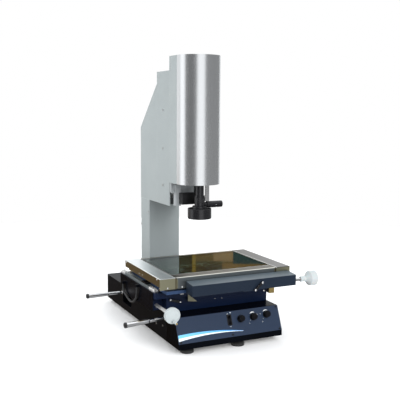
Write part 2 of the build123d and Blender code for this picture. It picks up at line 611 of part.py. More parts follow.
guide_start = Y_GUIDE_INNER + Y_GUIDE_WIDTH + SLIDE_GAP
with BuildPart() as saddle_guide_bars:
    for side in (-1, 1):
        with Locations((side * (guide_start + Y_GUIDE_WIDTH / 2), (SADDLE_FRONT + SADDLE_REAR) / 2,
                        PLATE_TOP + SLIDE_GAP + Y_GUIDE_HEIGHT / 2)):
            Box(Y_GUIDE_WIDTH, SADDLE_REAR - SADDLE_FRONT, Y_GUIDE_HEIGHT)

with BuildPart() as x_guide_bars:
    for side in (-1, 1):
        with Locations((0, STAGE_Y + side * (X_GUIDE_INNER + X_GUIDE_WIDTH / 2), SADDLE_TOP + X_GUIDE_HEIGHT / 2)):
            Box(2 * X_GUIDE_HALF, X_GUIDE_WIDTH, X_GUIDE_HEIGHT)
saddle_guide_bars_group = Compound(label="saddle_guide_bars", children=[saddle_guide_bars.part, x_guide_bars.part])
export_step(saddle_guide_bars_group, "parts/saddle_guide_bars.step")

with BuildPart() as y_drive_nut:
    pin((Y_ROD_X, Y_NUT_FRONT, Y_ROD_HEIGHT), BACKWARD, NUT_RADIUS, NUT_LENGTH)
    slab((arm_left, arm_left + Y_ARM_WIDTH), (Y_NUT_FRONT, Y_NUT_FRONT + NUT_LENGTH), (Y_ROD_HEIGHT, SADDLE_BOTTOM))
    pin((Y_ROD_X, Y_NUT_FRONT, Y_ROD_HEIGHT), BACKWARD, ROD_RADIUS + RUN_FIT, NUT_LENGTH, mode=Mode.SUBTRACT)

with BuildPart() as y_reader_head:
    slab((SCALE_LEFT, SADDLE_LEFT), (STAGE_Y - 20, STAGE_Y + 20),
         (PLATE_TOP + SCALE_HEIGHT + SLIDE_GAP, SADDLE_TOP - SLIDE_GAP))
    chamfer(y_reader_head.edges().filter_by(Axis.Z).group_by(Axis.X)[0], 3.0)
y_drive_nut_group = Compound(label="y_drive_nut", children=[y_drive_nut.part, y_reader_head.part])
export_step(y_drive_nut_group, "parts/y_drive_nut.step")

# Front cover: a folded channel, open behind, over the X rod
cover_bottom = SADDLE_BOTTOM + COVER_LIFT
lever_x = (75.0, cover_bottom + 0.5)
with BuildPart() as front_cover:
    with BuildSketch(Plane.YZ.offset(COVER_LEFT)):
        with BuildLine():
            Polyline((TONGUE_FRONT, cover_bottom), (COVER_FRONT, cover_bottom),
                     (COVER_FRONT, cover_bottom + COVER_FRONT_HEIGHT),
                     (TONGUE_FRONT, cover_bottom + COVER_REAR_HEIGHT), close=True)
        make_face()
    extrude(amount=COVER_RIGHT - COVER_LEFT)
    with BuildSketch(Plane.YZ.offset(COVER_LEFT + SHEET)):
        with BuildLine():
            Polyline((TONGUE_FRONT, cover_bottom + SHEET - 1), (COVER_FRONT + SHEET, cover_bottom + SHEET - 1),
                     (COVER_FRONT + SHEET, cover_bottom + COVER_FRONT_HEIGHT - SHEET),
                     (TONGUE_FRONT, cover_bottom + COVER_REAR_HEIGHT - SHEET), close=True)
        make_face()
    extrude(amount=COVER_RIGHT - COVER_LEFT - 2 * SHEET, mode=Mode.SUBTRACT)
    pin((COVER_RIGHT - SHEET, X_ROD_Y, X_ROD_HEIGHT), RIGHTWARD, ROD_RADIUS + 1.0, SHEET, mode=Mode.SUBTRACT)
    slab((lever_x[0] - LEVER_SHAFT - SLIDE_GAP, lever_x[0] + LEVER_SHAFT + SLIDE_GAP),
         (COVER_FRONT, COVER_FRONT + 12), (cover_bottom, lever_x[1] + LEVER_SHAFT + SLIDE_GAP), mode=Mode.SUBTRACT)

with BuildPart() as cover_strip:
    slab((lever_x[0] - 41, lever_x[0] - LEVER_RADIUS), (COVER_FRONT, COVER_FRONT + 9), (cover_bottom - 2.5, cover_bottom))
front_cover_group = Compound(label="front_cover", children=[front_cover.part, cover_strip.part])
export_step(front_cover_group, "parts/front_cover.step")

x_bearings = (LEFT_TONGUE + 5, RIGHT_TONGUE + 6)
with BuildPart() as x_bearing_blocks:
    for start in x_bearings:
        slab((start, start + X_BEARING_WIDTH), (X_ROD_Y - 2 * ROD_RADIUS, TONGUE_FRONT),
             (cover_bottom + SHEET - 1, X_ROD_HEIGHT + 2 * ROD_RADIUS))
        pin((start, X_ROD_Y, X_ROD_HEIGHT), RIGHTWARD, ROD_RADIUS + RUN_FIT, X_BEARING_WIDTH, mode=Mode.SUBTRACT)
x_bearing_blocks.part.label = "x_bearing_blocks"
export_step(x_bearing_blocks.part, "parts/x_bearing_blocks.step")

with BuildPart() as x_drive_rod:
    pin((x_bearings[0], X_ROD_Y, X_ROD_HEIGHT), RIGHTWARD, ROD_RADIUS, X_WHEEL_START + 44.0 - x_bearings[0])
    chamfer(x_drive_rod.edges(), 0.8)
x_drive_rod.part.label = "x_drive_rod"
export_step(x_drive_rod.part, "parts/x_drive_rod.step")

with BuildPart() as x_handwheel:
    turned((X_WHEEL_START, X_ROD_Y, X_ROD_HEIGHT), RIGHTWARD, (
        (0, ROD_RADIUS), (0, 8.5), (1, 9.5), (21, 9.5), (28, 16), (36, X_WHEEL_RADIUS - 0.8), (38, X_WHEEL_RADIUS),
        (60, X_WHEEL_RADIUS), (62, X_WHEEL_RADIUS - 2), (62, X_WHEEL_RADIUS - 5), (58, X_WHEEL_RADIUS - 7),
        (58, 0), (44, 0), (44, ROD_RADIUS)))
    pin((X_WHEEL_START + 11, X_ROD_Y - 9.8, X_ROD_HEIGHT), BACKWARD, 2.0, 2.0, mode=Mode.SUBTRACT)
x_handwheel.part.label = "x_handwheel"
export_step(x_handwheel.part, "parts/x_handwheel.step")

# Stage: two broad side plates and two rails round the glass, which lies on their ledge
ledge_z = STAGE_TOP - GLASS_THICK
with BuildPart() as stage_side_plates:
    with BuildSketch(Plane.XZ.offset(-STAGE_REAR)):
        with BuildLine():
            Polyline((STAGE_HALF, STAGE_BOTTOM), (STAGE_HALF, STAGE_TOP), (GLASS_HALF, STAGE_TOP),
                     (GLASS_HALF, ledge_z), (GLASS_HALF - GLASS_LEDGE, ledge_z),
                     (GLASS_HALF - GLASS_LEDGE, STAGE_BOTTOM), close=True)
        make_face()
    extrude(amount=STAGE_REAR - STAGE_FRONT)
    chamfer(stage_side_plates.edges().group_by(Axis.Z)[-1], STAGE_EDGE)
    mirror(about=Plane.YZ)
stage_side_plates.part.label = "stage_side_plates"
export_step(stage_side_plates.part, "parts/stage_side_plates.step")

with BuildPart() as stage_front_rail:
    slab((-GLASS_HALF + GLASS_LEDGE, GLASS_HALF - GLASS_LEDGE), (STAGE_FRONT, GLASS_FRONT + GLASS_LEDGE + 3),
         (STAGE_BOTTOM, ledge_z))
    slab((-GLASS_HALF, GLASS_HALF), (STAGE_FRONT, GLASS_FRONT), (ledge_z, STAGE_TOP))
    chamfer(stage_front_rail.edges().group_by(Axis.Z)[-1].filter_by(Axis.X), STAGE_EDGE)

with BuildPart() as stage_rear_rail:
    slab((-GLASS_HALF + GLASS_LEDGE, GLASS_HALF - GLASS_LEDGE), (GLASS_REAR - REAR_LEDGE, STAGE_REAR),
         (STAGE_BOTTOM, ledge_z))
    slab((-GLASS_HALF, GLASS_HALF), (GLASS_REAR, STAGE_REAR), (ledge_z, STAGE_TOP))
    chamfer(stage_rear_rail.edges().group_by(Axis.Z)[-1].filter_by(Axis.X), STAGE_EDGE)
stage_rails_group = Compound(label="stage_rails", children=[stage_front_rail.part, stage_rear_rail.part])
export_step(stage_rails_group, "parts/stage_rails.step")

with BuildPart() as stage_glass:
    slab((-GLASS_HALF + GLASS_PLAY, GLASS_HALF - GLASS_PLAY), (GLASS_FRONT + GLASS_PLAY, GLASS_REAR - GLASS_PLAY),
         (ledge_z, STAGE_TOP))
    chamfer(stage_glass.edges().group_by(Axis.Z)[-1], STAGE_EDGE / 2)
stage_glass.part.label = "stage_glass"
export_step(stage_glass.part, "parts/stage_glass.step")

stage_guide = X_GUIDE_INNER + X_GUIDE_WIDTH + SLIDE_GAP
with BuildPart() as stage_guide_bars:
    for side in (-1, 1):
        with Locations((0, STAGE_Y + side * (stage_guide + X_GUIDE_WIDTH / 2),
                        SADDLE_TOP + SLIDE_GAP + X_GUIDE_HEIGHT / 2)):
            Box(2 * STAGE_HALF - 20, X_GUIDE_WIDTH, X_GUIDE_HEIGHT)
stage_guide_bars.part.label = "stage_guide_bars"
export_step(stage_guide_bars.part, "parts/stage_guide_bars.step")

with BuildPart() as x_drive_nut:
    pin((X_NUT_MIDDLE - X_NUT_LENGTH / 2, X_ROD_Y, X_ROD_HEIGHT), RIGHTWARD, NUT_RADIUS - 2, X_NUT_LENGTH)
    slab((X_NUT_MIDDLE - 12, X_NUT_MIDDLE + 12), (X_ROD_Y, STAGE_FRONT), (STAGE_BOTTOM, STAGE_BOTTOM + 8))
    slab((X_NUT_MIDDLE - 12, X_NUT_MIDDLE + 12), (X_ROD_Y - 4, X_ROD_Y + 4), (X_ROD_HEIGHT, STAGE_BOTTOM + 8))
    pin((X_NUT_MIDDLE - X_NUT_LENGTH / 2, X_ROD_Y, X_ROD_HEIGHT), RIGHTWARD, ROD_RADIUS + RUN_FIT, X_NUT_LENGTH,
        mode=Mode.SUBTRACT)
x_drive_nut.part.label = "x_drive_nut"
export_step(x_drive_nut.part, "parts/x_drive_nut.step")

# Lock levers: a hub on a short shaft, and an arm with a rounded end
def lock_lever(hub, face_y, reach, angle):
    """A lever against an upright face: its hub, its shaft into the face and its slanting arm."""
    front = face_y - SLIDE_GAP
    pin((hub[0], front, hub[1]), BACKWARD, LEVER_SHAFT, SLIDE_GAP + LEVER_BORE - 1)
    pin((hub[0], front, hub[1]), FORWARD, LEVER_RADIUS, 7)
    with BuildSketch(Plane(origin=(hub[0], front - 2, hub[1]), x_dir=(1, 0, 0), z_dir=FORWARD)) as arm:
        with Locations(Location((reach / 2 * cos(angle), reach / 2 * sin(angle), 0), (0, 0, degrees(angle)))):
            SlotCenterToCenter(reach, LEVER_RADIUS * 1.7)
    extrude(arm.sketch, amount=6)
    for along in (0, reach):
        turned((hub[0] + along * cos(angle), front - 7, hub[1] + along * sin(angle)), FORWARD, (
            (0, 0), (0, 3.6), (1.2, 3.3), (2.4, 2.0), (2.8, 0)))


with BuildPart() as x_lock_lever:
    lock_lever(lever_x, COVER_FRONT, 36.0, radians(41))
x_lock_lever.part.label = "x_lock_lever"
export_step(x_lock_lever.part, "parts/x_lock_lever.step")

with BuildPart() as y_lock_lever:
    lock_lever(Y_LEVER, BED_FRONT, 38.0, radians(163))
y_lock_lever.part.label = "y_lock_lever"
export_step(y_lock_lever.part, "parts/y_lock_lever.step")

# Small pieces on the front of the bed: a three-cornered bracket and a brass stop block
BRACKET_LEFT = -BASE_HALF + 72.4
with BuildPart() as stop_bracket:
    with BuildSketch(Plane.XZ.offset(-PLATE_FRONT)):
        with BuildLine():
            Polyline((BRACKET_LEFT, PLATE_TOP - 14), (BRACKET_LEFT, PLATE_TOP - 39), (BRACKET_LEFT + 34.6, PLATE_TOP - 43),
                     close=True)
        make_face()
    extrude(amount=SHEET)

with BuildPart() as brass_stop:
    slab((BASE_HALF + 2, BASE_HALF + 24), (BED_FRONT - 13, BED_FRONT + 10), (BED_TOP - 27, BED_TOP))
    chamfer(brass_stop.edges().filter_by(Axis.Y), 2.0)
bed_stops_group = Compound(label="bed_stops", children=[stop_bracket.part, brass_stop.part])
export_step(bed_stops_group, "parts/bed_stops.step")

# Lower column, and inside the housing the head frame: its foot block and the slotted spine
with BuildPart() as column:
    slab((-COLUMN_HALF, COLUMN_HALF), (COLUMN_FRONT, COLUMN_REAR), (BASE_TOP, HOUSING_BOTTOM))
    fillet(column.edges().filter_by(Axis.Z), 2.0)
column.part.label = "column"
export_step(column.part, "parts/column.step")

with BuildPart() as head_frame:
    slab((-SPINE_HALF, SPINE_HALF), (SPINE_FRONT, COLUMN_REAR - SHEET - 1),
         (HOUSING_BOTTOM, HOUSING_BOTTOM + FRAME_BLOCK))
    slab((-SPINE_HALF, SPINE_HALF), (SPINE_FRONT, SPINE_REAR), (HOUSING_BOTTOM, SPINE_TOP))
    with BuildSketch(Plane.YZ):
        with BuildLine():
            Polyline((SPINE_REAR, HOUSING_BOTTOM + FRAME_BLOCK), (COLUMN_FRONT, HOUSING_BOTTOM + FRAME_BLOCK),
                     (SPINE_REAR, HOUSING_BOTTOM + FRAME_BLOCK + HOUSING_HEIGHT * 0.4), close=True)
        make_face()
    extrude(amount=10, both=True)
    slab((-CHANNEL_HALF, CHANNEL_HALF), (SPINE_FRONT, CHANNEL_BACK),
         (HOUSING_BOTTOM, SPINE_TOP), mode=Mode.SUBTRACT)
    pin((-SPINE_HALF, AXLE_Y, AXLE_Z), RIGHTWARD, AXLE_RADIUS + RUN_FIT, 2 * SPINE_HALF, mode=Mode.SUBTRACT)
head_frame.part.label = "head_frame"
export_step(head_frame.part, "parts/head_frame.step")

# Housing sheets: two side plates, the folded rear cover with its sloping top, and the top plate
with BuildPart() as side_plates:
    slab((HOUSING_INNER, COLUMN_HALF), (HOUSING_FRONT, HOUSING_SEAM), (HOUSING_BOTTOM, HOUSING_TOP))
    mirror(about=Plane.YZ)
    pin((HOUSING_INNER, AXLE_Y, AXLE_Z), RIGHTWARD, AXLE_RADIUS + 1.0, SHEET, mode=Mode.SUBTRACT)
side_plates.part.label = "side_plates"
export_step(side_plates.part, "parts/side_plates.step")

with BuildPart() as top_plate:
    slab((-HOUSING_INNER, HOUSING_INNER), (HOUSING_FRONT, HOUSING_SEAM), (HOUSING_TOP - SHEET, HOUSING_TOP))

slope_foot = (COLUMN_REAR, HOUSING_TOP - SLOPE_FOOT)
slope_top = (HOUSING_SEAM, HOUSING_TOP - SLOPE_TOP)
with BuildPart() as rear_cover:
    with BuildSketch(Plane.YZ):
        with BuildLine():
            Polyline((HOUSING_SEAM, HOUSING_BOTTOM), (COLUMN_REAR, HOUSING_BOTTOM), slope_foot, slope_top, close=True)
        make_face()
    extrude(amount=COLUMN_HALF, both=True)
    with BuildSketch(Plane.YZ):
        with BuildLine():
            Polyline((HOUSING_SEAM, HOUSING_BOTTOM), (COLUMN_REAR - SHEET, HOUSING_BOTTOM),
                     (COLUMN_REAR - SHEET, slope_foot[1] - SHEET / 2), (HOUSING_SEAM, slope_top[1] - SHEET * 1.5),
                     close=True)
        make_face()
    extrude(amount=HOUSING_INNER, both=True, mode=Mode.SUBTRACT)
rear_cover.part.label = "rear_cover"
export_step(rear_cover.part, "parts/rear_cover.step")

with BuildPart() as housing_back:
    slab((-HOUSING_INNER, HOUSING_INNER), (HOUSING_SEAM - SHEET, HOUSING_SEAM), (slope_top[1] - 8, HOUSING_TOP - SHEET))
top_plate_group = Compound(label="top_plate", children=[top_plate.part, housing_back.part])
export_step(top_plate_group, "parts/top_plate.step")

with BuildPart() as z_guide_rails:
    for side in (-1, 1):
        with BuildSketch(Plane.XY.offset(HOUSING_BOTTOM + RAIL_START)):
            with Locations((side * RAIL_MIDDLE, RAIL_FRONT + RAIL_HEIGHT / 2)):
                Rectangle(RAIL_WIDTH, RAIL_HEIGHT)
            for flank in (-1, 1):
                with Locations((side * RAIL_MIDDLE + flank * RAIL_WIDTH / 2, RAIL_FRONT + RAIL_HEIGHT / 3)):
                    Rectangle(3.0, 3.0, rotation=45, mode=Mode.SUBTRACT)
        extrude(amount=SPINE_TOP - 10 - HOUSING_BOTTOM - RAIL_START)

# Z carriage: the head plate with its two side walls, the neck, and the slide plate between the rails
slide_bottom = TUBE_BOTTOM + SLIDE_START
with BuildPart() as z_carriage:
    slab((-TUBE_RADIUS, TUBE_RADIUS), (TUBE_BACK - HEAD_PLATE, TUBE_BACK), (TUBE_BOTTOM, TUBE_TOP))
    slab((TUBE_RADIUS - SHEET, TUBE_RADIUS), (TUBE_Y, TUBE_BACK), (TUBE_BOTTOM, TUBE_TOP))
    mirror(about=Plane.YZ)
    slab((-NECK_HALF, NECK_HALF), (TUBE_BACK, SLIDE_PLATE_FRONT), (slide_bottom, slide_bottom + SLIDE_LENGTH))
    slab((-SLIDE_PLATE_HALF, SLIDE_PLATE_HALF), (SLIDE_PLATE_FRONT, SLIDE_BACK),
         (slide_bottom, slide_bottom + SLIDE_LENGTH))
z_carriage.part.label = "z_carriage"
export_step(z_carriage.part, "parts/z_carriage.step")

runner_half = RAIL_WIDTH / 2 + SLIDE_GAP + RUNNER_WALL
with BuildPart() as z_runner_blocks:
    for side in (-1, 1):
        for start in (slide_bottom, slide_bottom + SLIDE_LENGTH - RUNNER_LENGTH):
            with BuildSketch(Plane.XY.offset(start)):
                with Locations((side * RAIL_MIDDLE, (SLIDE_BACK + SPINE_FRONT - 4) / 2)):
                    Rectangle(2 * runner_half, SPINE_FRONT - 4 - SLIDE_BACK)
                with Locations((side * RAIL_MIDDLE, RAIL_FRONT - SLIDE_GAP + RAIL_HEIGHT / 2)):
                    Rectangle(RAIL_WIDTH + 2 * SLIDE_GAP, RAIL_HEIGHT, mode=Mode.SUBTRACT)
            extrude(amount=RUNNER_LENGTH)

# Rack on the slide plate and pinion on the cross axle, with straight-sided teeth
pitch = pi * TOOTH_MODULE
flank = tan(radians(20)) * TOOTH_MODULE
rack_bottom = AXLE_Z - 46.0
rack_teeth = int(RACK_LENGTH / pitch)
with BuildPart() as z_rack:
    with BuildSketch(Plane.YZ.offset(-RACK_HALF)):
        with BuildLine():
            outline = [(SLIDE_BACK, rack_bottom - pitch / 2)]
            root = RACK_PITCH_Y - 1.25 * TOOTH_MODULE
            tip = RACK_PITCH_Y + TOOTH_MODULE
            first_gap = AXLE_Z - pitch * round((AXLE_Z - rack_bottom) / pitch)
            outline.append((root, rack_bottom - pitch / 2))
            for tooth in range(rack_teeth):
                middle = first_gap + (tooth + 0.5) * pitch
                wide = pitch / 4 - BACKLASH + 1.25 * flank
                narrow = pitch / 4 - BACKLASH - flank
                outline += [(root, middle - wide), (tip, middle - narrow), (tip, middle + narrow), (root, middle + wide)]
            outline.append((root, middle + pitch))
            outline.append((SLIDE_BACK, middle + pitch))
            Polyline(*outline, close=True)
        make_face()
    extrude(amount=2 * RACK_HALF)
z_rack.part.label = "z_rack"
export_step(z_rack.part, "parts/z_rack.step")

with BuildPart() as z_pinion:
    root_radius = PITCH_RADIUS - 1.25 * TOOTH_MODULE
    tip_radius = PITCH_RADIUS + TOOTH_MODULE
    with BuildSketch(Plane.YZ.offset(-RACK_HALF)) as teeth:
        with Locations((AXLE_Y, AXLE_Z)):
            Circle(root_radius)
            with PolarLocations(0, PINION_TEETH, start_angle=180):
                Polygon((root_radius - 0.3, 1.05), (tip_radius, 0.35), (tip_radius, -0.35), (root_radius - 0.3, -1.05),
                        align=None)
    extrude(amount=2 * RACK_HALF)
    pin((-RACK_HALF, AXLE_Y, AXLE_Z), RIGHTWARD, 4.0, 2 * RACK_HALF, mode=Mode.SUBTRACT)

with BuildPart() as z_axle:
    pin((-SPINE_HALF, AXLE_Y, AXLE_Z), RIGHTWARD, AXLE_RADIUS, SPINE_HALF - RACK_HALF)
    pin((-RACK_HALF, AXLE_Y, AXLE_Z), RIGHTWARD, 4.0, 2 * RACK_HALF)
    pin((RACK_HALF, AXLE_Y, AXLE_Z), RIGHTWARD, AXLE_RADIUS, Z_WHEEL_START + 16 - RACK_HALF)
z_axle_group = Compound(label="z_axle", children=[z_pinion.part, z_axle.part])
export_step(z_axle_group, "parts/z_axle.step")

with BuildPart() as z_handwheel:
    turned((Z_WHEEL_START, AXLE_Y, AXLE_Z), RIGHTWARD, (
        (0, AXLE_RADIUS), (0, 12), (8, 12), (10, Z_WHEEL_RADIUS - 4), (12, Z_WHEEL_RADIUS), (26, Z_WHEEL_RADIUS),
        (28, Z_WHEEL_RADIUS - 2), (28, Z_WHEEL_RADIUS - 6), (24, Z_WHEEL_RADIUS - 8), (24, 0), (16, 0),
        (16, AXLE_RADIUS)))
z_handwheel.part.label = "z_handwheel"
export_step(z_handwheel.part, "parts/z_handwheel.step")

# Z scale beside the left rail and its reader on the carriage
z_scale_x = (-SPINE_HALF, -SPINE_HALF + 7.5)
with BuildPart() as z_scale:
    slab(z_scale_x, (SPINE_FRONT - 10, SPINE_FRONT), (HOUSING_BOTTOM + FRAME_BLOCK + 10, SPINE_TOP - 40))
z_guide_rails_group = Compound(label="z_guide_rails", children=[z_guide_rails.part, z_scale.part])
export_step(z_guide_rails_group, "parts/z_guide_rails.step")

with BuildPart() as z_reader_head:
    slab((-SPINE_HALF, -SLIDE_PLATE_HALF), (SLIDE_PLATE_FRONT + 2, SPINE_FRONT - 10 - SLIDE_GAP),
         (slide_bottom + 70, slide_bottom + 110))
z_runner_blocks_group = Compound(label="z_runner_blocks", children=[z_runner_blocks.part, z_reader_head.part])
export_step(z_runner_blocks_group, "parts/z_runner_blocks.step")


# Tube cover: a brushed half-round shell with joggled edges behind the side walls, and a flat cap
with BuildPart() as tube_cover:
    with BuildSketch(Plane.XY.offset(TUBE_BOTTOM)):
        with Locations((0, TUBE_Y)):
            Circle(TUBE_RADIUS)
            Circle(TUBE_RADIUS - TUBE_WALL, mode=Mode.SUBTRACT)
        with Locations((0, TUBE_Y + TUBE_RADIUS)):
            Rectangle(3 * TUBE_RADIUS, 2 * TUBE_RADIUS, mode=Mode.SUBTRACT)
        for side in (-1, 1):
            with Locations((side * (TUBE_RADIUS - SHEET - TUBE_WALL / 2), TUBE_Y + 4)):
                Rectangle(TUBE_WALL, 20)
            with Locations((side * (TUBE_RADIUS - SHEET), TUBE_Y - 2)):
                Rectangle(2 * TUBE_WALL, 4)
    extrude(amount=TUBE_LENGTH)

with BuildPart() as tube_cap:
    with BuildSketch(Plane.XY.offset(TUBE_TOP - SHEET)):
        with Locations((0, TUBE_Y)):
            Circle(TUBE_RADIUS - SHEET - TUBE_WALL)
        with Locations((0, TUBE_Y + TUBE_RADIUS)):
            Rectangle(3 * TUBE_RADIUS, 2 * TUBE_RADIUS, mode=Mode.SUBTRACT)
        with Locations((0, (TUBE_Y + TUBE_BACK - HEAD_PLATE) / 2)):
            Rectangle(2 * (TUBE_RADIUS - SHEET - TUBE_WALL), TUBE_BACK - HEAD_PLATE - TUBE_Y)
    extrude(amount=SHEET)
tube_cover_group = Compound(label="tube_cover", children=[tube_cover.part, tube_cap.part])
export_step(tube_cover_group, "parts/tube_cover.step")

# Optics on one axis: camera, zoom lens with its ring, clamp, collar, ring light and side light
lens_base = (0, OPTICAL_Y, TUBE_BOTTOM)
CLAMP_BOTTOM = 24.0
CLAMP_HEIGHT = 30.0
LENS_TOP = 220.0
CAMERA_HALF = 24.0
CAMERA_HEIGHT = 58.0
with BuildPart() as zoom_lens:
    turned(lens_base, UPWARD, (
        (LENS_TIP, 0), (LENS_TIP, 16), (RING_TOP, 16), (RING_TOP, GRIP_RADIUS), (ZOOM_BOTTOM - SLIDE_GAP, GRIP_RADIUS),
        (ZOOM_BOTTOM - SLIDE_GAP, BARREL_RADIUS), (ZOOM_TOP + SLIDE_GAP, BARREL_RADIUS),
        (ZOOM_TOP + SLIDE_GAP, GRIP_RADIUS), (GRIP_TOP, GRIP_RADIUS), (GRIP_TOP, BARREL_RADIUS),
        (LENS_TOP, BARREL_RADIUS), (LENS_TOP, 0)))
    pin((0, OPTICAL_Y, TUBE_BOTTOM + PORT_Z), RIGHTWARD, PORT_RADIUS, PORT_END)
zoom_lens.part.label = "zoom_lens"
export_step(zoom_lens.part, "parts/zoom_lens.step")

with BuildPart() as zoom_ring:
    with BuildSketch(Plane.XY.offset(TUBE_BOTTOM + ZOOM_BOTTOM)):
        with Locations((0, OPTICAL_Y)):
            Circle(GRIP_RADIUS + 0.6)
            with PolarLocations(GRIP_RADIUS + 0.9, 24):
                Circle(0.9, mode=Mode.SUBTRACT)
            Circle(BARREL_RADIUS + RUN_FIT, mode=Mode.SUBTRACT)
    extrude(amount=ZOOM_TOP - ZOOM_BOTTOM)
zoom_ring.part.label = "zoom_ring"
export_step(zoom_ring.part, "parts/zoom_ring.step")

with BuildPart() as camera:
    slab((-CAMERA_HALF, CAMERA_HALF), (OPTICAL_Y - CAMERA_HALF, OPTICAL_Y + CAMERA_HALF),
         (TUBE_BOTTOM + LENS_TOP, TUBE_BOTTOM + LENS_TOP + CAMERA_HEIGHT))
    chamfer(camera.edges().filter_by(Axis.Z), 2.0)
camera.part.label = "camera"
export_step(camera.part, "parts/camera.step")

with BuildPart() as lens_clamp:
    with BuildSketch(Plane.XY.offset(TUBE_BOTTOM + CLAMP_BOTTOM)):
        with Locations((0, OPTICAL_Y)):
            Circle(BARREL_RADIUS + 13)
        with Locations((0, (OPTICAL_Y + TUBE_BACK - HEAD_PLATE) / 2)):
            Rectangle(36, TUBE_BACK - HEAD_PLATE - OPTICAL_Y)
        with Locations((0, OPTICAL_Y)):
            Circle(BARREL_RADIUS, mode=Mode.SUBTRACT)
    extrude(amount=CLAMP_HEIGHT)

with BuildPart() as light_collar:
    turned(lens_base, UPWARD, (
        (RING_TOP, GRIP_RADIUS), (RING_TOP, COLLAR_RADIUS), (COLLAR_TOP - 1, COLLAR_RADIUS),
        (COLLAR_TOP, COLLAR_RADIUS - 1), (COLLAR_TOP, GRIP_RADIUS)))
    pin((0, OPTICAL_Y, TUBE_BOTTOM + PORT_Z), RIGHTWARD, PORT_RADIUS + SLIDE_GAP, COLLAR_RADIUS + 1, mode=Mode.SUBTRACT)

with BuildPart() as ring_light:
    turned(lens_base, UPWARD, (
        (RING_TOP, 16), (RING_TOP, RING_RADIUS - 1), (RING_TOP - 1, RING_RADIUS),
        (RING_TOP - RING_HEIGHT + 1, RING_RADIUS), (RING_TOP - RING_HEIGHT, RING_RADIUS - 1),
        (RING_TOP - RING_HEIGHT, RING_RADIUS - 3), (RING_TOP - RING_HEIGHT + 14, RING_RADIUS - 3),
        (RING_TOP - RING_HEIGHT + 24, RING_BORE), (RING_TOP - 6, RING_BORE), (RING_TOP - 6, 16)))

with BuildPart() as light_diffuser:
    turned(lens_base, UPWARD, (
        (RING_TOP - RING_HEIGHT + 1, RING_RADIUS - 3), (RING_TOP - RING_HEIGHT + 13, RING_RADIUS - 3),
        (RING_TOP - RING_HEIGHT + 22, RING_BORE + 0.5), (RING_TOP - RING_HEIGHT + 19, RING_BORE + 0.5)))
ring_light_group = Compound(label="ring_light", children=[light_collar.part, ring_light.part, light_diffuser.part])
export_step(ring_light_group, "parts/ring_light.step")

with BuildPart() as coaxial_light:
    turned((PORT_END, OPTICAL_Y, TUBE_BOTTOM + PORT_Z), RIGHTWARD, (
        (0, 0), (0, COAX_RADIUS - 1), (1, COAX_RADIUS), (40, COAX_RADIUS), (40, COAX_RADIUS - 1), (44, COAX_RADIUS - 1),
        (44, COAX_RADIUS), (COAX_END - PORT_END - 1, COAX_RADIUS), (COAX_END - PORT_END, COAX_RADIUS - 1),
        (COAX_END - PORT_END, 0)))
coaxial_light.part.label = "coaxial_light"
export_step(coaxial_light.part, "parts/coaxial_light.step")

# Bracket plate and block under the carriage, beside the barrel
BRACKET_HOLE = (-44.3, TUBE_BOTTOM - 60)
with BuildPart() as lens_bracket:
    with BuildSketch(Plane.XZ.offset(-TUBE_BACK)) as plate:
        with Locations((-38, TUBE_BOTTOM - 9)):
            RectangleRounded(72, 66, 8)
        with Locations((-38, TUBE_BOTTOM - 36)):
            Rectangle(56, 12)
    extrude(amount=-10)
    slab((-2, 20), (TUBE_BACK + 2, TUBE_BACK + 10), (TUBE_BOTTOM - 46, TUBE_BOTTOM + 20))
    slab((-60, -38), (TUBE_BACK - 8, TUBE_BACK + 10), (TUBE_BOTTOM - 88, TUBE_BOTTOM - 9))
    pin((BRACKET_HOLE[0], TUBE_BACK - 8, BRACKET_HOLE[1]), BACKWARD, 3.4, 9, mode=Mode.SUBTRACT)

with BuildPart() as barrel_block:
    slab((-45, 15), (TUBE_BACK - 38, TUBE_BACK - 8), (TUBE_BOTTOM - 81, TUBE_BOTTOM - 39))
    chamfer(barrel_block.edges().filter_by(Axis.X), 2.0)
lens_bracket_group = Compound(label="lens_bracket", children=[lens_bracket.part, barrel_block.part])
export_step(lens_bracket_group, "parts/lens_bracket.step")

with BuildPart() as side_bracket:
    slab((22, 38), (OPTICAL_Y - 2, OPTICAL_Y + 2), (TUBE_BOTTOM - 64, TUBE_BOTTOM + CLAMP_BOTTOM))
    slab((22, 38), (OPTICAL_Y - 2, OPTICAL_Y + 10), (TUBE_BOTTOM + CLAMP_BOTTOM - 4, TUBE_BOTTOM + CLAMP_BOTTOM))
lens_clamp_group = Compound(label="lens_clamp", children=[lens_clamp.part, side_bracket.part])
export_step(lens_clamp_group, "parts/lens_clamp.step")

# Electrics inside the base, and the mains inlet in its rear wall
with BuildPart() as power_supply:
    slab((30, 140), (120, 280), (BASE_BOTTOM + FLOOR_PLATE, BASE_BOTTOM + FLOOR_PLATE + 45))

with BuildPart() as control_board:
    slab((-100, 60), (-80, 60), (BASE_BOTTOM + FLOOR_PLATE + 6, BASE_BOTTOM + FLOOR_PLATE + 8))
    for x, y in ((-94, -74), (54, -74), (-94, 54), (54, 54)):
        pin((x, y, BASE_BOTTOM + FLOOR_PLATE), UPWARD, 3.0, 6.0)
    slab((-60, -10), (-40, 10), (BASE_BOTTOM + FLOOR_PLATE + 8, BASE_BOTTOM + FLOOR_PLATE + 26))
base_electrics_group = Compound(label="base_electrics", children=[power_supply.part, control_board.part])
export_step(base_electrics_group, "parts/base_electrics.step")

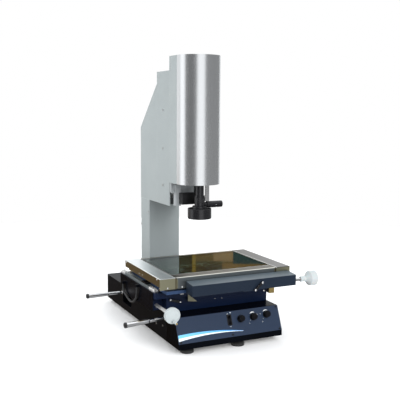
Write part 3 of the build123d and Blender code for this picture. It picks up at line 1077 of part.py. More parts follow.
with BuildPart() as mains_inlet:
    slab((INLET_X - 24, INLET_X + 24), (BASE_REAR, BASE_REAR + 2.5), (INLET_Z - 14, INLET_Z + 14))
    slab((INLET_X - INLET_HALF[0], INLET_X + INLET_HALF[0]), (BASE_REAR - CASTING_WALL - 8, BASE_REAR),
         (INLET_Z - INLET_HALF[1], INLET_Z + INLET_HALF[1]))
    slab((INLET_X - 12, INLET_X + 12), (BASE_REAR - 14, BASE_REAR + 2.5), (INLET_Z - 8, INLET_Z + 8), mode=Mode.SUBTRACT)
    for x in (-7.0, 0.0, 7.0):
        slab((INLET_X + x - 1, INLET_X + x + 1), (BASE_REAR - 14, BASE_REAR - 2), (INLET_Z - 2, INLET_Z + 2))

# Round screw-lock sockets for the scale and camera leads, beside the inlet
with BuildPart() as signal_sockets:
    for x in SOCKETS_X:
        turned((x, BASE_REAR, INLET_Z), BACKWARD, (
            (-CASTING_WALL - 4, 0), (-CASTING_WALL - 4, SOCKET_RADIUS), (0, SOCKET_RADIUS), (0, 12), (3, 12),
            (3, 9), (17.5, 9), (17.5, 7.5), (6, 7.5), (6, 0)))
rear_sockets_group = Compound(label="rear_sockets", children=[mains_inlet.part, signal_sockets.part])
export_step(rear_sockets_group, "parts/rear_sockets.step")

# Chromed carrying bars screwed into the left side, each with a black end cap
BARS = ((180.0, BASE_TOP - 34.0, 0.0), (-258.0, BASE_TOP - 19.4, radians(3)))
with BuildPart() as carrying_bars:
    for y, z, droop in BARS:
        turned((-BASE_HALF, y, z), (-cos(droop), 0, -sin(droop)), (
            (0.5, 0), (0.5, 8), (3, 8), (3, 5.5), (58, 6.2), (62, 7.5), (BAR_LENGTH, 9), (BAR_LENGTH, 0)))

with BuildPart() as carrying_bar_caps:
    for y, z, droop in BARS:
        turned((-BASE_HALF, y, z), (-cos(droop), 0, -sin(droop)), (
            (BAR_LENGTH, 0), (BAR_LENGTH, 9.6), (BAR_LENGTH + 6, 9.6), (BAR_LENGTH + 8, 7.5), (BAR_LENGTH + 8, 0)))
carrying_bars_group = Compound(label="carrying_bars", children=[carrying_bars.part, carrying_bar_caps.part])
export_step(carrying_bars_group, "parts/carrying_bars.step")

# Screw heads on the covers
with BuildPart() as cover_screws:
    for x, up in ((-190, 5), (4, 6.5), (190, 5), (190, 82)):
        screw(PANEL.from_local_coords((x, up, 0)), PANEL.z_dir)
    for share in (0.146, 0.426, 0.713):
        screw((-COLUMN_HALF, 76, HOUSING_BOTTOM + share * HOUSING_HEIGHT), LEFTWARD)
        screw((COLUMN_HALF, 30, HOUSING_BOTTOM + share * HOUSING_HEIGHT), RIGHTWARD)
    for y, z in ((COLUMN_FRONT + 11, -52), (COLUMN_REAR - 4, -111)):
        screw((-COLUMN_HALF, y, HOUSING_BOTTOM + z), LEFTWARD)
    for y, z in ((-180, -59), (-240, -51)):
        screw((-BASE_HALF, y, BASE_TOP + z), LEFTWARD)
cover_screws.part.label = "cover_screws"
export_step(cover_screws.part, "parts/cover_screws.step")

# Cable that hangs in a loop outside the left cover, between two glands
loop_x = -PLATE_HALF - SHEET - CABLE_RADIUS - 2.5
LOOP = ((10, 163), (10, 136), (-28, 125), (-55, 116), (-84, 114), (-112, 126), (-138, 152), (-138, 184))
loop_points = [Vector(loop_x, y, z) for y, z in LOOP]


def bend_radii(points):
    """The largest arc at each corner that leaves a tenth of the shorter run straight."""
    radii = []
    for before, corner, after in zip(points, points[1:], points[2:]):
        turn = radians((corner - before).get_angle(after - corner))
        shorter = min((corner - before).length, (after - corner).length)
        radii.append(0.45 * shorter / tan(turn / 2))
    return radii


def cable(points, radius):
    """A round cable along straight runs joined by tangent arcs."""
    radii = bend_radii(points)
    print("cable bends", [round(r, 1) for r in radii])
    with BuildLine() as route:
        FilletPolyline(*points, radius=radii)
    start = Plane(origin=points[0], z_dir=points[1] - points[0])
    with BuildSketch(start) as section:
        Circle(radius)
    sweep(section.sketch, path=route.wire())
    print("cable length", round(route.wire().length, 1))
    return route.wire().length


with BuildPart() as cable_loop:
    loop_length = cable(loop_points, CABLE_RADIUS)
print("cable volume over section", round(cable_loop.part.volume / (pi * CABLE_RADIUS ** 2) / loop_length, 4))
cable_loop.part.label = "cable_loop"
export_step(cable_loop.part, "parts/cable_loop.step")

with BuildPart() as cable_glands:
    for y, z in (LOOP[0], LOOP[-1]):
        slab((loop_x - CABLE_RADIUS - 1.5, -PLATE_HALF - SHEET), (y - 6, y + 6), (z, z + 9))
    fillet(cable_glands.edges().filter_by(Axis.Z).group_by(Axis.X)[0], 3.0)
left_cover_group = Compound(label="left_cover", children=[left_cover.part, cable_glands.part])
export_step(left_cover_group, "parts/left_cover.step")
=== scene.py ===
import math

import bmesh
import bpy
import numpy as np
from mathutils import Matrix, Vector


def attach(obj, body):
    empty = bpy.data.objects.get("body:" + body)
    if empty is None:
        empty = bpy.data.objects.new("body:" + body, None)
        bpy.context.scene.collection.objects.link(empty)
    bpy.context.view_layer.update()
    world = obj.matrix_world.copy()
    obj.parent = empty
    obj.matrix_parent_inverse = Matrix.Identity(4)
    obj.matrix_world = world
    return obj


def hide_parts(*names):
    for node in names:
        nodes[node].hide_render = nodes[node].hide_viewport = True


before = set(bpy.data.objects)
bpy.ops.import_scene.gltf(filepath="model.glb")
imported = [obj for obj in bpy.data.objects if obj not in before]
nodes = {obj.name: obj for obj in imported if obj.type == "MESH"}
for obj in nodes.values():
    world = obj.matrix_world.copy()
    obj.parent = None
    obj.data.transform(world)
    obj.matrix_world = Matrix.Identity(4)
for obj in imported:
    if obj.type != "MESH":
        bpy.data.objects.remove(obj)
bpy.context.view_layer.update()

# Camera: stands low in front and to the left of the machine, as a product photographer's does,
# and looks slightly down at the head, the stage and the left side of the base.
SENSOR_WIDTH = 36.0
PHOTO_WIDTH = 400
FOCAL_LENGTH = 704.591    # in pixels of the photograph
CAMERA_PLACE = (-1.1041, -2.4229, 0.8029)
YAW, PITCH, ROLL = 25.58, 7.245, 0.341
camera_data = bpy.data.cameras.new("camera")
camera_data.sensor_width = SENSOR_WIDTH
camera_data.lens = FOCAL_LENGTH * SENSOR_WIDTH / PHOTO_WIDTH
camera = bpy.data.objects.new("camera", camera_data)
bpy.context.scene.collection.objects.link(camera)
yaw, pitch, roll = (math.radians(a) for a in (YAW, PITCH, ROLL))
gaze = Vector((math.sin(yaw) * math.cos(pitch), math.cos(yaw) * math.cos(pitch), -math.sin(pitch)))
level = Vector((math.cos(yaw), -math.sin(yaw), 0.0))
upright = level.cross(gaze)
right = level * math.cos(roll) + upright * math.sin(roll)
above = upright * math.cos(roll) - level * math.sin(roll)
facing = Matrix((right, above, -gaze)).transposed().to_4x4()
camera.matrix_world = Matrix.Translation(CAMERA_PLACE) @ facing
bpy.context.scene.camera = camera


# Enamel: dark blue castings and sheet covers, sprayed and baked. The paint has a faint orange peel,
# is painted paler along sharp edges as a highlight, and its gloss varies with handling.
class Value:
    """A socket whose number varies over a surface. Arithmetic on it adds Math nodes."""

    def __init__(self, finish, socket):
        self.finish = finish
        self.socket = socket

    def maths(self, operation, *terms):
        return self.finish.node("ShaderNodeMath", {"operation": operation}, dict(enumerate(terms)))

    def __add__(self, other):
        return self.maths("ADD", self, other)

    def __radd__(self, other):
        return self.maths("ADD", other, self)

    def __sub__(self, other):
        return self.maths("SUBTRACT", self, other)

    def __rsub__(self, other):
        return self.maths("SUBTRACT", other, self)

    def __mul__(self, other):
        return self.maths("MULTIPLY", self, other)

    def __rmul__(self, other):
        return self.maths("MULTIPLY", other, self)

    def __abs__(self):
        return self.maths("ABSOLUTE", self)

    def above(self, level):
        """1 where the value is over the level, else 0."""
        return self.maths("GREATER_THAN", self, level)

    def within(self, low, high):
        """1 where the value lies between two levels, else 0."""
        return self.above(low) * (1 - self.above(high))

    def ramp(self, low, high):
        """0 at the low level and 1 at the high one, straight between."""
        return self.finish.node("ShaderNodeMapRange", {"clamp": True}, {
            0: self, 1: low, 2: high, 3: 0.0, 4: 1.0})


class Finish:
    """A material for one finish, with its Principled shader and what its patterns need."""

    def __init__(self, name, **constants):
        self.material = bpy.data.materials.new(name)
        self.material.use_nodes = True
        self.tree = self.material.node_tree
        self.shader = self.tree.nodes["Principled BSDF"]
        for socket, value in constants.items():
            self.shader.inputs[socket.replace("_", " ")].default_value = value
        self.place = self.node("ShaderNodeTexCoord", {}, {}, "Object")

    def node(self, kind, settings, sockets, output=0):
        """A node of any kind: its settings first, then the values or links of its sockets."""
        made = self.tree.nodes.new(kind)
        for setting, value in settings.items():
            setattr(made, setting, value)
        for socket, value in sockets.items():
            if isinstance(value, Value):
                self.tree.links.new(value.socket, made.inputs[socket])
            else:
                made.inputs[socket].default_value = value
        return Value(self, made.outputs[output])

    def axis(self, letter):
        """One coordinate of the place on the surface, in metres."""
        return self.node("ShaderNodeSeparateXYZ", {}, {0: self.place}, letter)

    def noise(self, per_metre, detail=3.0, rough=0.5, stretch=(1, 1, 1)):
        """Noise of about 0.5, with so many lumps in a metre, stretched along some axes."""
        place = self.node("ShaderNodeMapping", {}, {"Vector": self.place, "Scale": stretch})
        return self.node("ShaderNodeTexNoise", {}, {
            "Vector": place, "Scale": per_metre, "Detail": detail, "Roughness": rough})

    def edge(self, radius):
        """0 on flat places and up to 1 along sharp edges: how far a rounded edge's normal turns."""
        rounded = self.node("ShaderNodeBevel", {"samples": 4}, {"Radius": radius})
        flat = self.node("ShaderNodeNewGeometry", {}, {}, "Normal")
        along = self.node(
            "ShaderNodeVectorMath", {"operation": "DOT_PRODUCT"}, {0: rounded, 1: flat}, "Value")
        return (1 - along).ramp(0.005, 0.12)

    def relief(self, height, depth, radius=0.0006, strength=1.0):
        """The normal of a surface with a height pattern of that depth in metres, and rounded edges."""
        rounded = self.node("ShaderNodeBevel", {"samples": 4}, {"Radius": radius})
        return self.node("ShaderNodeBump", {}, {
            "Strength": strength, "Distance": depth, "Height": height, "Normal": rounded})

    def colours(self, share, first, second):
        """The first colour where the share is 0 and the second where it is 1."""
        return self.node("ShaderNodeMix", {"data_type": "RGBA"}, {
            0: share, 6: first if isinstance(first, Value) else (*first, 1),
            7: second if isinstance(second, Value) else (*second, 1)}, 2)

    def box(self, low, high):
        """1 inside an upright box given by two corners in metres, else 0."""
        inside = 1.0
        for letter, a, b in zip("XYZ", low, high):
            inside = self.axis(letter).within(a, b) * inside
        return inside

    def feed(self, **links):
        """Links what varies over the surface to the shader's sockets."""
        for socket, value in links.items():
            self.tree.links.new(value.socket, self.shader.inputs[socket.replace("_", " ")])
        return self


def dress(finish, *names):
    """Gives CAD nodes or pieces the finish."""
    for name in names:
        data = (nodes[name] if isinstance(name, str) else name).data
        data.materials.clear()
        data.materials.append(finish.material)


def enamel(name, colour, light, peel=0.00004, rough=0.34, gloss=0.25, corner=0.0009):
    """Sprayed enamel: a ground colour that drifts a little, a painted highlight along the edges, and orange
    peel.
    """
    paint = Finish(name, IOR=1.5, Specular_IOR_Level=gloss, Coat_Roughness=0.12)
    drift = paint.noise(9, 2).ramp(0.3, 0.7)
    body = paint.colours(drift * 0.35, colour, light)
    # The paler colour along sharp edges is a painted highlight.
    paint.body = paint.colours(paint.edge(corner) * 0.5, body, tuple(min(1, c * 1.8 + 0.02) for c in light))
    smear = paint.noise(26, 4, 0.6)
    return paint.feed(
        Base_Color=paint.body, Roughness=rough + smear * 0.12 - 0.06, Coat_Weight=drift * 0.02,
        Normal=paint.relief(paint.noise(700, 2), peel, corner))


dress(enamel("navy_enamel", (0.0035, 0.0095, 0.032), (0.006, 0.014, 0.044), gloss=0.2),
      "bed_block", "bed_plate", "y_bearing_blocks", "x_bearing_blocks")
# The bed and the saddle carry one navy paint: the saddle's is a lighter, lit copy and the bed's a darker,
# shaded copy, as painted light and shade.
dress(enamel("saddle_enamel", (0.020, 0.042, 0.098), (0.026, 0.052, 0.115)), "saddle_plate")
# The control box, base casting and left cover are near black: partly dark paint and partly painted shade on
# their sides away from the lamps.
dress(enamel("box_enamel", (0.0014, 0.0019, 0.0034), (0.0026, 0.0034, 0.0056), rough=0.24, gloss=0.05),
      "control_box")
dress(enamel("casting_enamel", (0.0026, 0.0031, 0.0046), (0.0048, 0.0056, 0.0080), 0.00010, 0.36, gloss=0.05),
      "base_casting")
dress(enamel("side_cover_enamel", (0.0026, 0.0031, 0.0052), (0.0046, 0.0052, 0.0078), rough=0.24, gloss=0.05),
      "left_cover")

# Front cover: the same enamel on folded sheet, painted lighter and mottled on what faces up: painted light
# from above.
cover_paint = enamel("cover_enamel", (0.0085, 0.0150, 0.0270), (0.0125, 0.0200, 0.0360), gloss=0.26)
normal = cover_paint.node("ShaderNodeNewGeometry", {}, {}, "Normal")
facing_up = cover_paint.node("ShaderNodeSeparateXYZ", {}, {0: normal}, "Z").ramp(0.3, 0.7)
# Mottled pale colour on up-facing faces: painted light from above.
painted_top_light = cover_paint.colours(
    cover_paint.noise(30, 4).ramp(0.2, 0.8), (0.075, 0.100, 0.122), (0.095, 0.118, 0.132))
cover_paint.feed(Base_Color=cover_paint.colours(facing_up * 0.9, cover_paint.body, painted_top_light))
dress(cover_paint, "front_cover")

# Loop cable: a black lead that leaves the sheet cover on the left side of the bed and goes back
# into it. It hangs free between two glands, as its own weight bends it.
LOOP_X = -0.2548
CABLE_RADIUS = 0.0038
LOOP = ((10, 163), (10, 136), (-28, 125), (-55, 116), (-84, 114), (-112, 126), (-138, 152), (-138, 184))
route = bpy.data.curves.new("loop_cable", "CURVE")
route.dimensions = "3D"
spline = route.splines.new("NURBS")
spline.points.add(len(LOOP) - 1)
spline.points.foreach_set("co", np.array([(LOOP_X, y / 1000, z / 1000, 1.0) for y, z in LOOP]).ravel())
spline.order_u = 3
spline.use_endpoint_u = True
route.bevel_depth = CABLE_RADIUS
route.bevel_resolution = 6
route.resolution_u = 24
route.use_fill_caps = True
loop_cable = bpy.data.objects.new("loop_cable", route)
bpy.context.scene.collection.objects.link(loop_cable)
sheath = Finish("cable_sheath", IOR=1.5)
sheath.feed(
    Base_Color=sheath.colours(sheath.noise(60, 3), (0.012, 0.012, 0.013), (0.022, 0.022, 0.023)),
    Roughness=0.42 + sheath.noise(150, 2) * 0.15, Normal=sheath.relief(sheath.noise(900, 2), 0.00005))
dress(sheath, loop_cable)
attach(loop_cable, "base")
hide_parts("cable_loop")

# Control panel: a steel sheet with a blue stoved finish, screwed on the control box's slope. A
# curved stripe, light blue over white, is printed low on it and tapers to the right.
PANEL_FOOT = (-0.3775, 0.0385)
PANEL_LEFT = -0.198
STRIPE_END = 0.052
LEAN = math.radians(22.75)
panel_paint = Finish("panel_enamel", IOR=1.5, Coat_Roughness=0.15, Coat_Weight=0.2)
across = panel_paint.axis("X")
back = panel_paint.axis("Y") - PANEL_FOOT[0]
up = back * math.sin(LEAN) + (panel_paint.axis("Z") - PANEL_FOOT[1]) * math.cos(LEAN)
run = across.ramp(PANEL_LEFT, STRIPE_END)
middle = 0.0189 + run * 0.0281 - run * run * 0.0324
half_width = (1 - run) * 0.0097 + 0.0005
stripe = (half_width - abs(up - middle)).above(0.0) * across.within(-0.1965, 0.046)
lower = (0.01817 + run * 0.02535 - run * run * 0.02886 - up).above(0.0)
ground = panel_paint.colours(panel_paint.noise(500, 3), (0.007, 0.018, 0.043), (0.013, 0.026, 0.057))
blue = panel_paint.colours(run, (0.18, 0.54, 0.84), (0.05, 0.26, 0.66))
printed = panel_paint.colours(lower, blue, (0.80, 0.88, 0.90))
panel_paint.feed(
    Base_Color=panel_paint.colours(stripe, ground, printed), Roughness=0.36 + panel_paint.noise(90, 3) * 0.12,
    Normal=panel_paint.relief(panel_paint.noise(1500, 2), 0.00004))
dress(panel_paint, "control_panel")


# Marks on the panel: white silk-screen print. Crescents over two of the knobs, with figures and a
# dot for their ends, and ON and OFF by the rocker switch.
PRINT_BACK, PRINT_FACE = 0.00002, 0.00012    # over the panel


def panel_place(x, rise, out):
    """Points of the panel's own plane, given across, up the slope and out of it."""
    y = PANEL_FOOT[0] + rise * math.sin(LEAN) - out * math.cos(LEAN)
    z = PANEL_FOOT[1] + rise * math.cos(LEAN) + out * math.sin(LEAN)
    return np.stack(np.broadcast_arrays(x, y, z), axis=-1)


def piece_of(name, mesh):
    """A new object in the scene that holds the mesh."""
    piece = bpy.data.objects.new(name, mesh)
    bpy.context.scene.collection.objects.link(piece)
    return piece


def surface(name, grid):
    """A mesh from a grid of points, rows by columns, where the last column joins the first."""
    rows, columns = grid.shape[:2]
    index = np.arange(rows * columns).reshape(rows, columns)
    index = np.concatenate([index, index[:, :1]], axis=1)
    quads = np.stack([index[:-1, :-1], index[1:, :-1], index[1:, 1:], index[:-1, 1:]], axis=-1)
    mesh = bpy.data.meshes.new(name)
    mesh.from_pydata(grid.reshape(-1, 3).tolist(), [], quads.reshape(-1, 4).tolist())
    return piece_of(name, mesh)


def settle(piece, smooth=True):
    """Merges doubled points, turns the faces outwards and shades them."""
    work = bmesh.new()
    work.from_mesh(piece.data)
    bmesh.ops.remove_doubles(work, verts=work.verts, dist=1e-6)
    bmesh.ops.dissolve_degenerate(work, dist=1e-7, edges=work.edges)
    bmesh.ops.recalc_face_normals(work, faces=work.faces)
    work.to_mesh(piece.data)
    work.free()
    piece.data.polygons.foreach_set("use_smooth", [smooth] * len(piece.data.polygons))
    return piece


def crescent(name, x, rise, radius, start, end, broad):
    """A flat printed crescent: a rectangle carried round part of a circle. Its width follows half a
    sine wave, from a point at the start to its broad middle and to a point at the end."""
    share = np.linspace(0, 1, 36)[:, None]
    angle = np.radians(start + (end - start) * share)
    width = 0.0003 + broad * np.sin(np.pi * share)
    reach = radius + width * np.array([-0.5, 0.5, 0.5, -0.5])[None, :]
    out = np.array([PRINT_BACK, PRINT_BACK, PRINT_FACE, PRINT_FACE])[None, :]
    grid = panel_place(x + reach * np.cos(angle), rise + reach * np.sin(angle), out)
    first, last = (row.mean(axis=1, keepdims=True).repeat(4, axis=1) for row in (grid[:1], grid[-1:]))
    return settle(surface(name, np.concatenate([first, grid, last])), smooth=False)


CAPITAL_SHARE = 0.7    # a capital's height in the typeface's size


def lettering(name, words, x, rise, height):
    """Printed figures: Blender's own typeface as a thin mesh, laid on the panel's slope."""
    text = bpy.data.curves.new(name, "FONT")
    text.body = words
    text.size = height / CAPITAL_SHARE
    text.align_x = "CENTER"
    text.extrude = 0.00006
    typed = bpy.data.objects.new(name, text)
    mesh = bpy.data.meshes.new_from_object(typed)
    bpy.data.objects.remove(typed)
    flat = np.empty(len(mesh.vertices) * 3)
    mesh.vertices.foreach_get("co", flat)
    flat = flat.reshape(-1, 3)
    laid = panel_place(x + flat[:, 0], rise + flat[:, 1], 0.00008 + flat[:, 2])
    mesh.vertices.foreach_set("co", laid.ravel())
    return settle(piece_of(name, mesh), smooth=False)


def turned(name, centre, way, profile, count=32):
    """A turned piece: each (along, radius) of the profile carried round the axis through the centre."""
    way = np.array(way, float) / np.linalg.norm(way)
    side = np.cross(way, (0, 0, 1)) if abs(way[2]) < 0.9 else np.cross(way, (0, 1, 0))
    side = side / np.linalg.norm(side)
    other = np.cross(way, side)
    along, radius = np.array(profile, float).T[:, :, None]
    angle = np.linspace(0, 2 * np.pi, count, endpoint=False)[None, :, None]
    ring = np.cos(angle) * side + np.sin(angle) * other
    return settle(surface(name, np.array(centre) + along[..., None] * way + radius[..., None] * ring))


ink = Finish("white_print", IOR=1.45)
ink.feed(
    Base_Color=ink.colours(ink.noise(400, 2), (0.62, 0.65, 0.66), (0.78, 0.80, 0.80)),
    Roughness=0.4 + ink.noise(300, 2) * 0.2)
OUTWARD = (0, -math.cos(LEAN), math.sin(LEAN))
DOT = ((PRINT_BACK, 0), (PRINT_BACK, 0.0009), (PRINT_FACE, 0.0009), (PRINT_FACE, 0))
CRESCENTS = (("knob_scale_middle", 0.093, 0.0575, 0.0165, 60, 132, 0.0035),
             ("knob_scale_right", 0.146, 0.0600, 0.0155, 58, 134, 0.0032))
WORDS = (("switch_mark_on", "ON", -0.0042, 0.0772, 0.0026),
         ("switch_mark_off", "OFF", 0.0002, 0.0338, 0.0024),
         ("knob_figure_1", "0", 0.0760, 0.0355, 0.0030), ("knob_figure_2", "10", 0.1102, 0.0625, 0.0030),
         ("knob_figure_3", "0", 0.1274, 0.0350, 0.0030), ("knob_figure_4", "5", 0.1236, 0.0631, 0.0030))
marks = [crescent(*sizes) for sizes in CRESCENTS] + [lettering(*sizes) for sizes in WORDS] + [
    turned(name, panel_place(x, 0.047, 0.0), OUTWARD, DOT, 16)
    for name, x in (("knob_dot_1", 0.0811), ("knob_dot_2", 0.1321))]
for mark in marks:
    dress(ink, mark)
    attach(mark, "base")

# Knobs, rocker switch and panel lamp: moulded black plastic with a fine spark-eroded texture,
# snapped or screwed into the panel. The lamp's lens is a small clear dome.
moulded = Finish("moulded_black", IOR=1.5, Specular_IOR_Level=0.15)
# Paler along the edges: a painted highlight.
moulded.feed(
    Base_Color=moulded.colours(moulded.edge(0.0005), (0.003, 0.003, 0.004), (0.030, 0.030, 0.032)),
    Roughness=0.30 + moulded.noise(500, 3) * 0.2,
    Normal=moulded.relief(moulded.noise(2500, 2), 0.00004, 0.0005))
dress(moulded, "knob_left", "knob_middle", "knob_right", "power_rocker")
fittings = Finish("panel_fittings", IOR=1.5, Specular_IOR_Level=0.2)
lamp = fittings.box((0.004, -0.36, 0.110), (0.0105, -0.33, 0.122))
fittings.feed(
    Base_Color=fittings.colours(lamp, (0.015, 0.015, 0.016), (0.55, 0.62, 0.66)),
    Roughness=0.45 - lamp * 0.3 + fittings.noise(400, 2) * 0.1,
    Normal=fittings.relief(fittings.noise(2500, 2), 0.00003))
dress(fittings, "panel_fittings")

# Grey sheets: the column, the housing and the head plate, primed and sprayed light grey with a
# faint green cast, in satin. The head frame inside the housing is primed iron.
# The wider corner rounds these sheets' edges more and broadens their painted edge highlight.
grey = enamel(
    "grey_enamel", (0.31, 0.345, 0.350), (0.36, 0.395, 0.395), 0.00005, 0.42, gloss=0.35, corner=0.0020)
dress(grey, "side_plates", "top_plate", "rear_cover", "column", "z_carriage")
iron = Finish("primed_iron", IOR=1.5)
iron.feed(
    Base_Color=iron.colours(iron.noise(40, 5, 0.6), (0.045, 0.050, 0.052), (0.075, 0.082, 0.085)),
    Roughness=0.55 + iron.noise(120, 3) * 0.2, Normal=iron.relief(iron.noise(350, 4), 0.0003, 0.001))
dress(iron, "head_frame")


# Tube cover: a bent aluminium shell, brushed along its length and clear anodised, so that it
# mirrors the lights in upright bands. Its cap is the same sheet, cut flat.
def brushed(name, colour, pale_colour, rough, stretch, fine=0.00002, metal=1.0):
    """Brushed bare metal: fine streaks in colour, gloss and relief, drawn out along the brushing."""
    finish = Finish(name, Metallic=metal)
    streak = finish.noise(900, 3, 0.6, stretch)
    broad = finish.noise(60, 3, 0.5, stretch)
    return finish.feed(
        Base_Color=finish.colours(streak * 0.6 + broad * 0.4, colour, pale_colour),
        Roughness=rough + streak * 0.10 + broad * 0.06 - 0.08,
        Normal=finish.relief(streak, fine, 0.0004))


dress(brushed("tube_aluminium", (0.62, 0.63, 0.64), (0.78, 0.79, 0.80), 0.26, (1, 1, 0.03)), "tube_cover")

# Stage plates: two side plates milled from thick plate, cut back below on the outside, with a
# groove beside the glass, and a full-height lip screwed on each front end. Their colours are painted
# reflections: the left top near white, the right top dark grey and the outer sides amber. A white strip
# by the glass is a painted highlight, and the groove is painted dark as shade.
def extrusion(name, outline, start, end):
    """A bar along Y: an outline of (x, z) points at its start and at its end, joined by quads."""
    outline = np.array(outline, float)
    points = np.concatenate([np.insert(outline, 1, y, axis=1) for y in (start, end)])
    count = len(outline)
    near = np.arange(count)
    far = (near + 1) % count
    sides = np.stack([near, far, far + count, near + count], axis=-1)
    mesh = bpy.data.meshes.new(name)
    mesh.from_pydata(points.tolist(), [], sides.tolist() + [near.tolist(), (near + count).tolist()])
    return settle(piece_of(name, mesh), smooth=False)


STAGE_TOP = 0.2547
PLATE_SECTION = ((0.250, 0.2297), (0.250, 0.2531), (0.2484, STAGE_TOP), (0.1950, STAGE_TOP), (0.1944, 0.2541),
                 (0.1944, 0.2505), (0.1903, 0.2505), (0.1903, 0.2487), (0.1851, 0.2487), (0.1851, 0.2167),
                 (0.2360, 0.2167), (0.2360, 0.2297))
LIP_SECTION = ((0.250, 0.2175), (0.250, 0.2537), (0.2490, STAGE_TOP), (0.1904, STAGE_TOP), (0.1904, 0.2167),
               (0.2492, 0.2167))
PLATE_FRONT, PLATE_REAR, LIP_FRONT = -0.3357, -0.0031, -0.3387
stage_metal = Finish("stage_plate_metal", IOR=1.5)
mill = stage_metal.noise(900, 3, 0.6, (0.04, 1, 1))
on_right = stage_metal.axis("X").above(0.0)
at_front = 1 - stage_metal.axis("Y").above(PLATE_FRONT + 0.0001)
on_top = stage_metal.axis("Z").above(STAGE_TOP - 0.0020)
from_middle = abs(stage_metal.axis("X"))
glass_edge_highlight = from_middle.within(0.1938, 0.1962)
groove_shade = from_middle.within(0.1895, 0.1946) * (1 - stage_metal.axis("Z").above(STAGE_TOP - 0.0004))
# The top colours and the amber sides are painted reflections; the strip by the glass is a painted highlight
# and the groove's dark is painted shade.
top_colour = stage_metal.colours(on_right, (0.96, 1.00, 1.00), (0.19, 0.185, 0.18))
top_colour = stage_metal.colours(glass_edge_highlight, top_colour, (0.85, 0.87, 0.87))
plate_colour = stage_metal.colours(on_top, (0.40, 0.31, 0.15), top_colour)
plate_colour = stage_metal.colours(at_front * (1 - on_top), plate_colour, (0.52, 0.50, 0.33))
plate_colour = stage_metal.colours(groove_shade, plate_colour, (0.16, 0.12, 0.06))
stage_metal.feed(
    Base_Color=stage_metal.colours(mill * (0.35 - on_top * 0.23), plate_colour, (0.30, 0.28, 0.24)),
    Roughness=0.24 + mill * 0.12, Metallic=1 - glass_edge_highlight * on_top * 0.85,
    Normal=stage_metal.relief(mill, 0.00002, 0.0006))
for side, hand in ((-1, "left"), (1, "right")):
    plate_outline, lip_outline = ([(side * x, z) for x, z in half] for half in (PLATE_SECTION, LIP_SECTION))
    plate = extrusion(f"stage_plate_{hand}", plate_outline, PLATE_FRONT, PLATE_REAR)
    lip = extrusion(f"stage_lip_{hand}", lip_outline, LIP_FRONT, PLATE_FRONT)
    for piece in (plate, lip):
        dress(stage_metal, piece)
        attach(piece, "stage")
        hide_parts("stage_side_plates")

# Stage rails: the front and rear bars that close the frame round the glass, ground and oiled, with
# their top edges painted pale as highlights. Under them, steel guide bars run on the saddle's.
rail_metal = Finish("stage_rail_metal", IOR=1.5, Metallic=1.0)
grind = rail_metal.noise(900, 3, 0.6, (0.04, 1, 1))
rail_top = rail_metal.axis("Z").above(STAGE_TOP - 0.0018)
rail_y = rail_metal.axis("Y")
FRONT_RAIL_FACE, REAR_RAIL_FACE = (-0.3350, -0.2975), (-0.0130, -0.0065)
rail_edge_highlight = 1 - rail_y.within(*FRONT_RAIL_FACE) - rail_y.within(*REAR_RAIL_FACE)
rail_colour = rail_metal.colours(rail_top, (0.30, 0.33, 0.34), (0.10, 0.085, 0.055))
# Pale strips along the rail tops' edges: painted highlights.
rail_colour = rail_metal.colours(rail_edge_highlight * rail_top, rail_colour, (0.84, 0.84, 0.76))
rail_metal.feed(
    Base_Color=rail_metal.colours(grind * 0.3, rail_colour, (0.26, 0.26, 0.24)),
    Roughness=0.24 + grind * 0.12, Normal=rail_metal.relief(grind, 0.00002, 0.0006))
dress(rail_metal, "stage_rails")
dress(brushed("ground_steel", (0.48, 0.48, 0.48), (0.62, 0.62, 0.62), 0.28, (1, 0.05, 1)),
      "stage_guide_bars", "saddle_guide_bars", "y_guide_bars", "z_guide_rails", "z_rack", "z_axle")

# Stage glass: a float glass plate with ground and chamfered edges, greenish where it is thick, and
# slightly smudged.
glass = Finish("stage_glass", IOR=1.52, Transmission_Weight=1.0)
smudge = glass.noise(14, 4, 0.6)
RIM_HALF, RIM_FRONT, RIM_REAR = 0.1880, -0.2918, -0.0180    # where the ground edges start
depth = glass.axis("Y")
rim = abs(glass.axis("X")).above(RIM_HALF) + depth.above(RIM_REAR) + (1 - depth.above(RIM_FRONT))
glass.feed(
    Base_Color=glass.colours(smudge, (0.42, 0.52, 0.46), (0.48, 0.57, 0.50)),
    Roughness=0.01 + smudge * 0.02 + rim * 0.35)
dress(glass, "stage_glass")

# Stage screws: low nickel-plated button heads with a round socket, at the corners of the stage and
# in the lips.
def dome(radius, rise, socket=0.0):
    """Half the outline of a button head, from the middle to the rim: an ellipse, with a round socket
    in it if the socket has a radius."""
    swing = np.radians(np.linspace(0, 80, 9))
    cap = [(rise * math.cos(a), radius * math.sin(a)) for a in swing if radius * math.sin(a) >= socket]
    floor_of_socket = [(rise * 0.35, 0), (rise * 0.35, socket), (rise * 0.97, socket)] if socket else []
    return floor_of_socket + cap + [(-0.0002, radius), (-0.0002, 0)]


plated = brushed("plated_screw", (0.80, 0.80, 0.78), (0.92, 0.92, 0.90), 0.20, (1, 1, 1))
STAGE_SCREWS = (
    ((-0.250, -0.3130, 0.2490), (-1, 0, 0), 0.0032), ((-0.250, -0.1773, 0.2344), (-1, 0, 0), 0.0018),
    ((-0.250, -0.1498, 0.2346), (-1, 0, 0), 0.0018), ((-0.250, -0.0170, 0.2490), (-1, 0, 0), 0.0032),
    ((0.250, -0.3130, 0.2490), (1, 0, 0), 0.0032), ((0.250, -0.0170, 0.2490), (1, 0, 0), 0.0032),
    ((-0.2219, -0.3387, 0.2212), (0, -1, 0), 0.0034), ((-0.1693, -0.3387, 0.2212), (0, -1, 0), 0.0034),
    ((0.1693, -0.3387, 0.2212), (0, -1, 0), 0.0034), ((0.2219, -0.3387, 0.2212), (0, -1, 0), 0.0034))
for number, (place, way, radius) in enumerate(STAGE_SCREWS, 1):
    head = turned(f"stage_screw_{number:02d}", place, way, dome(radius, radius * 0.55, radius * 0.42))
    dress(plated, head)
    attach(head, "stage")
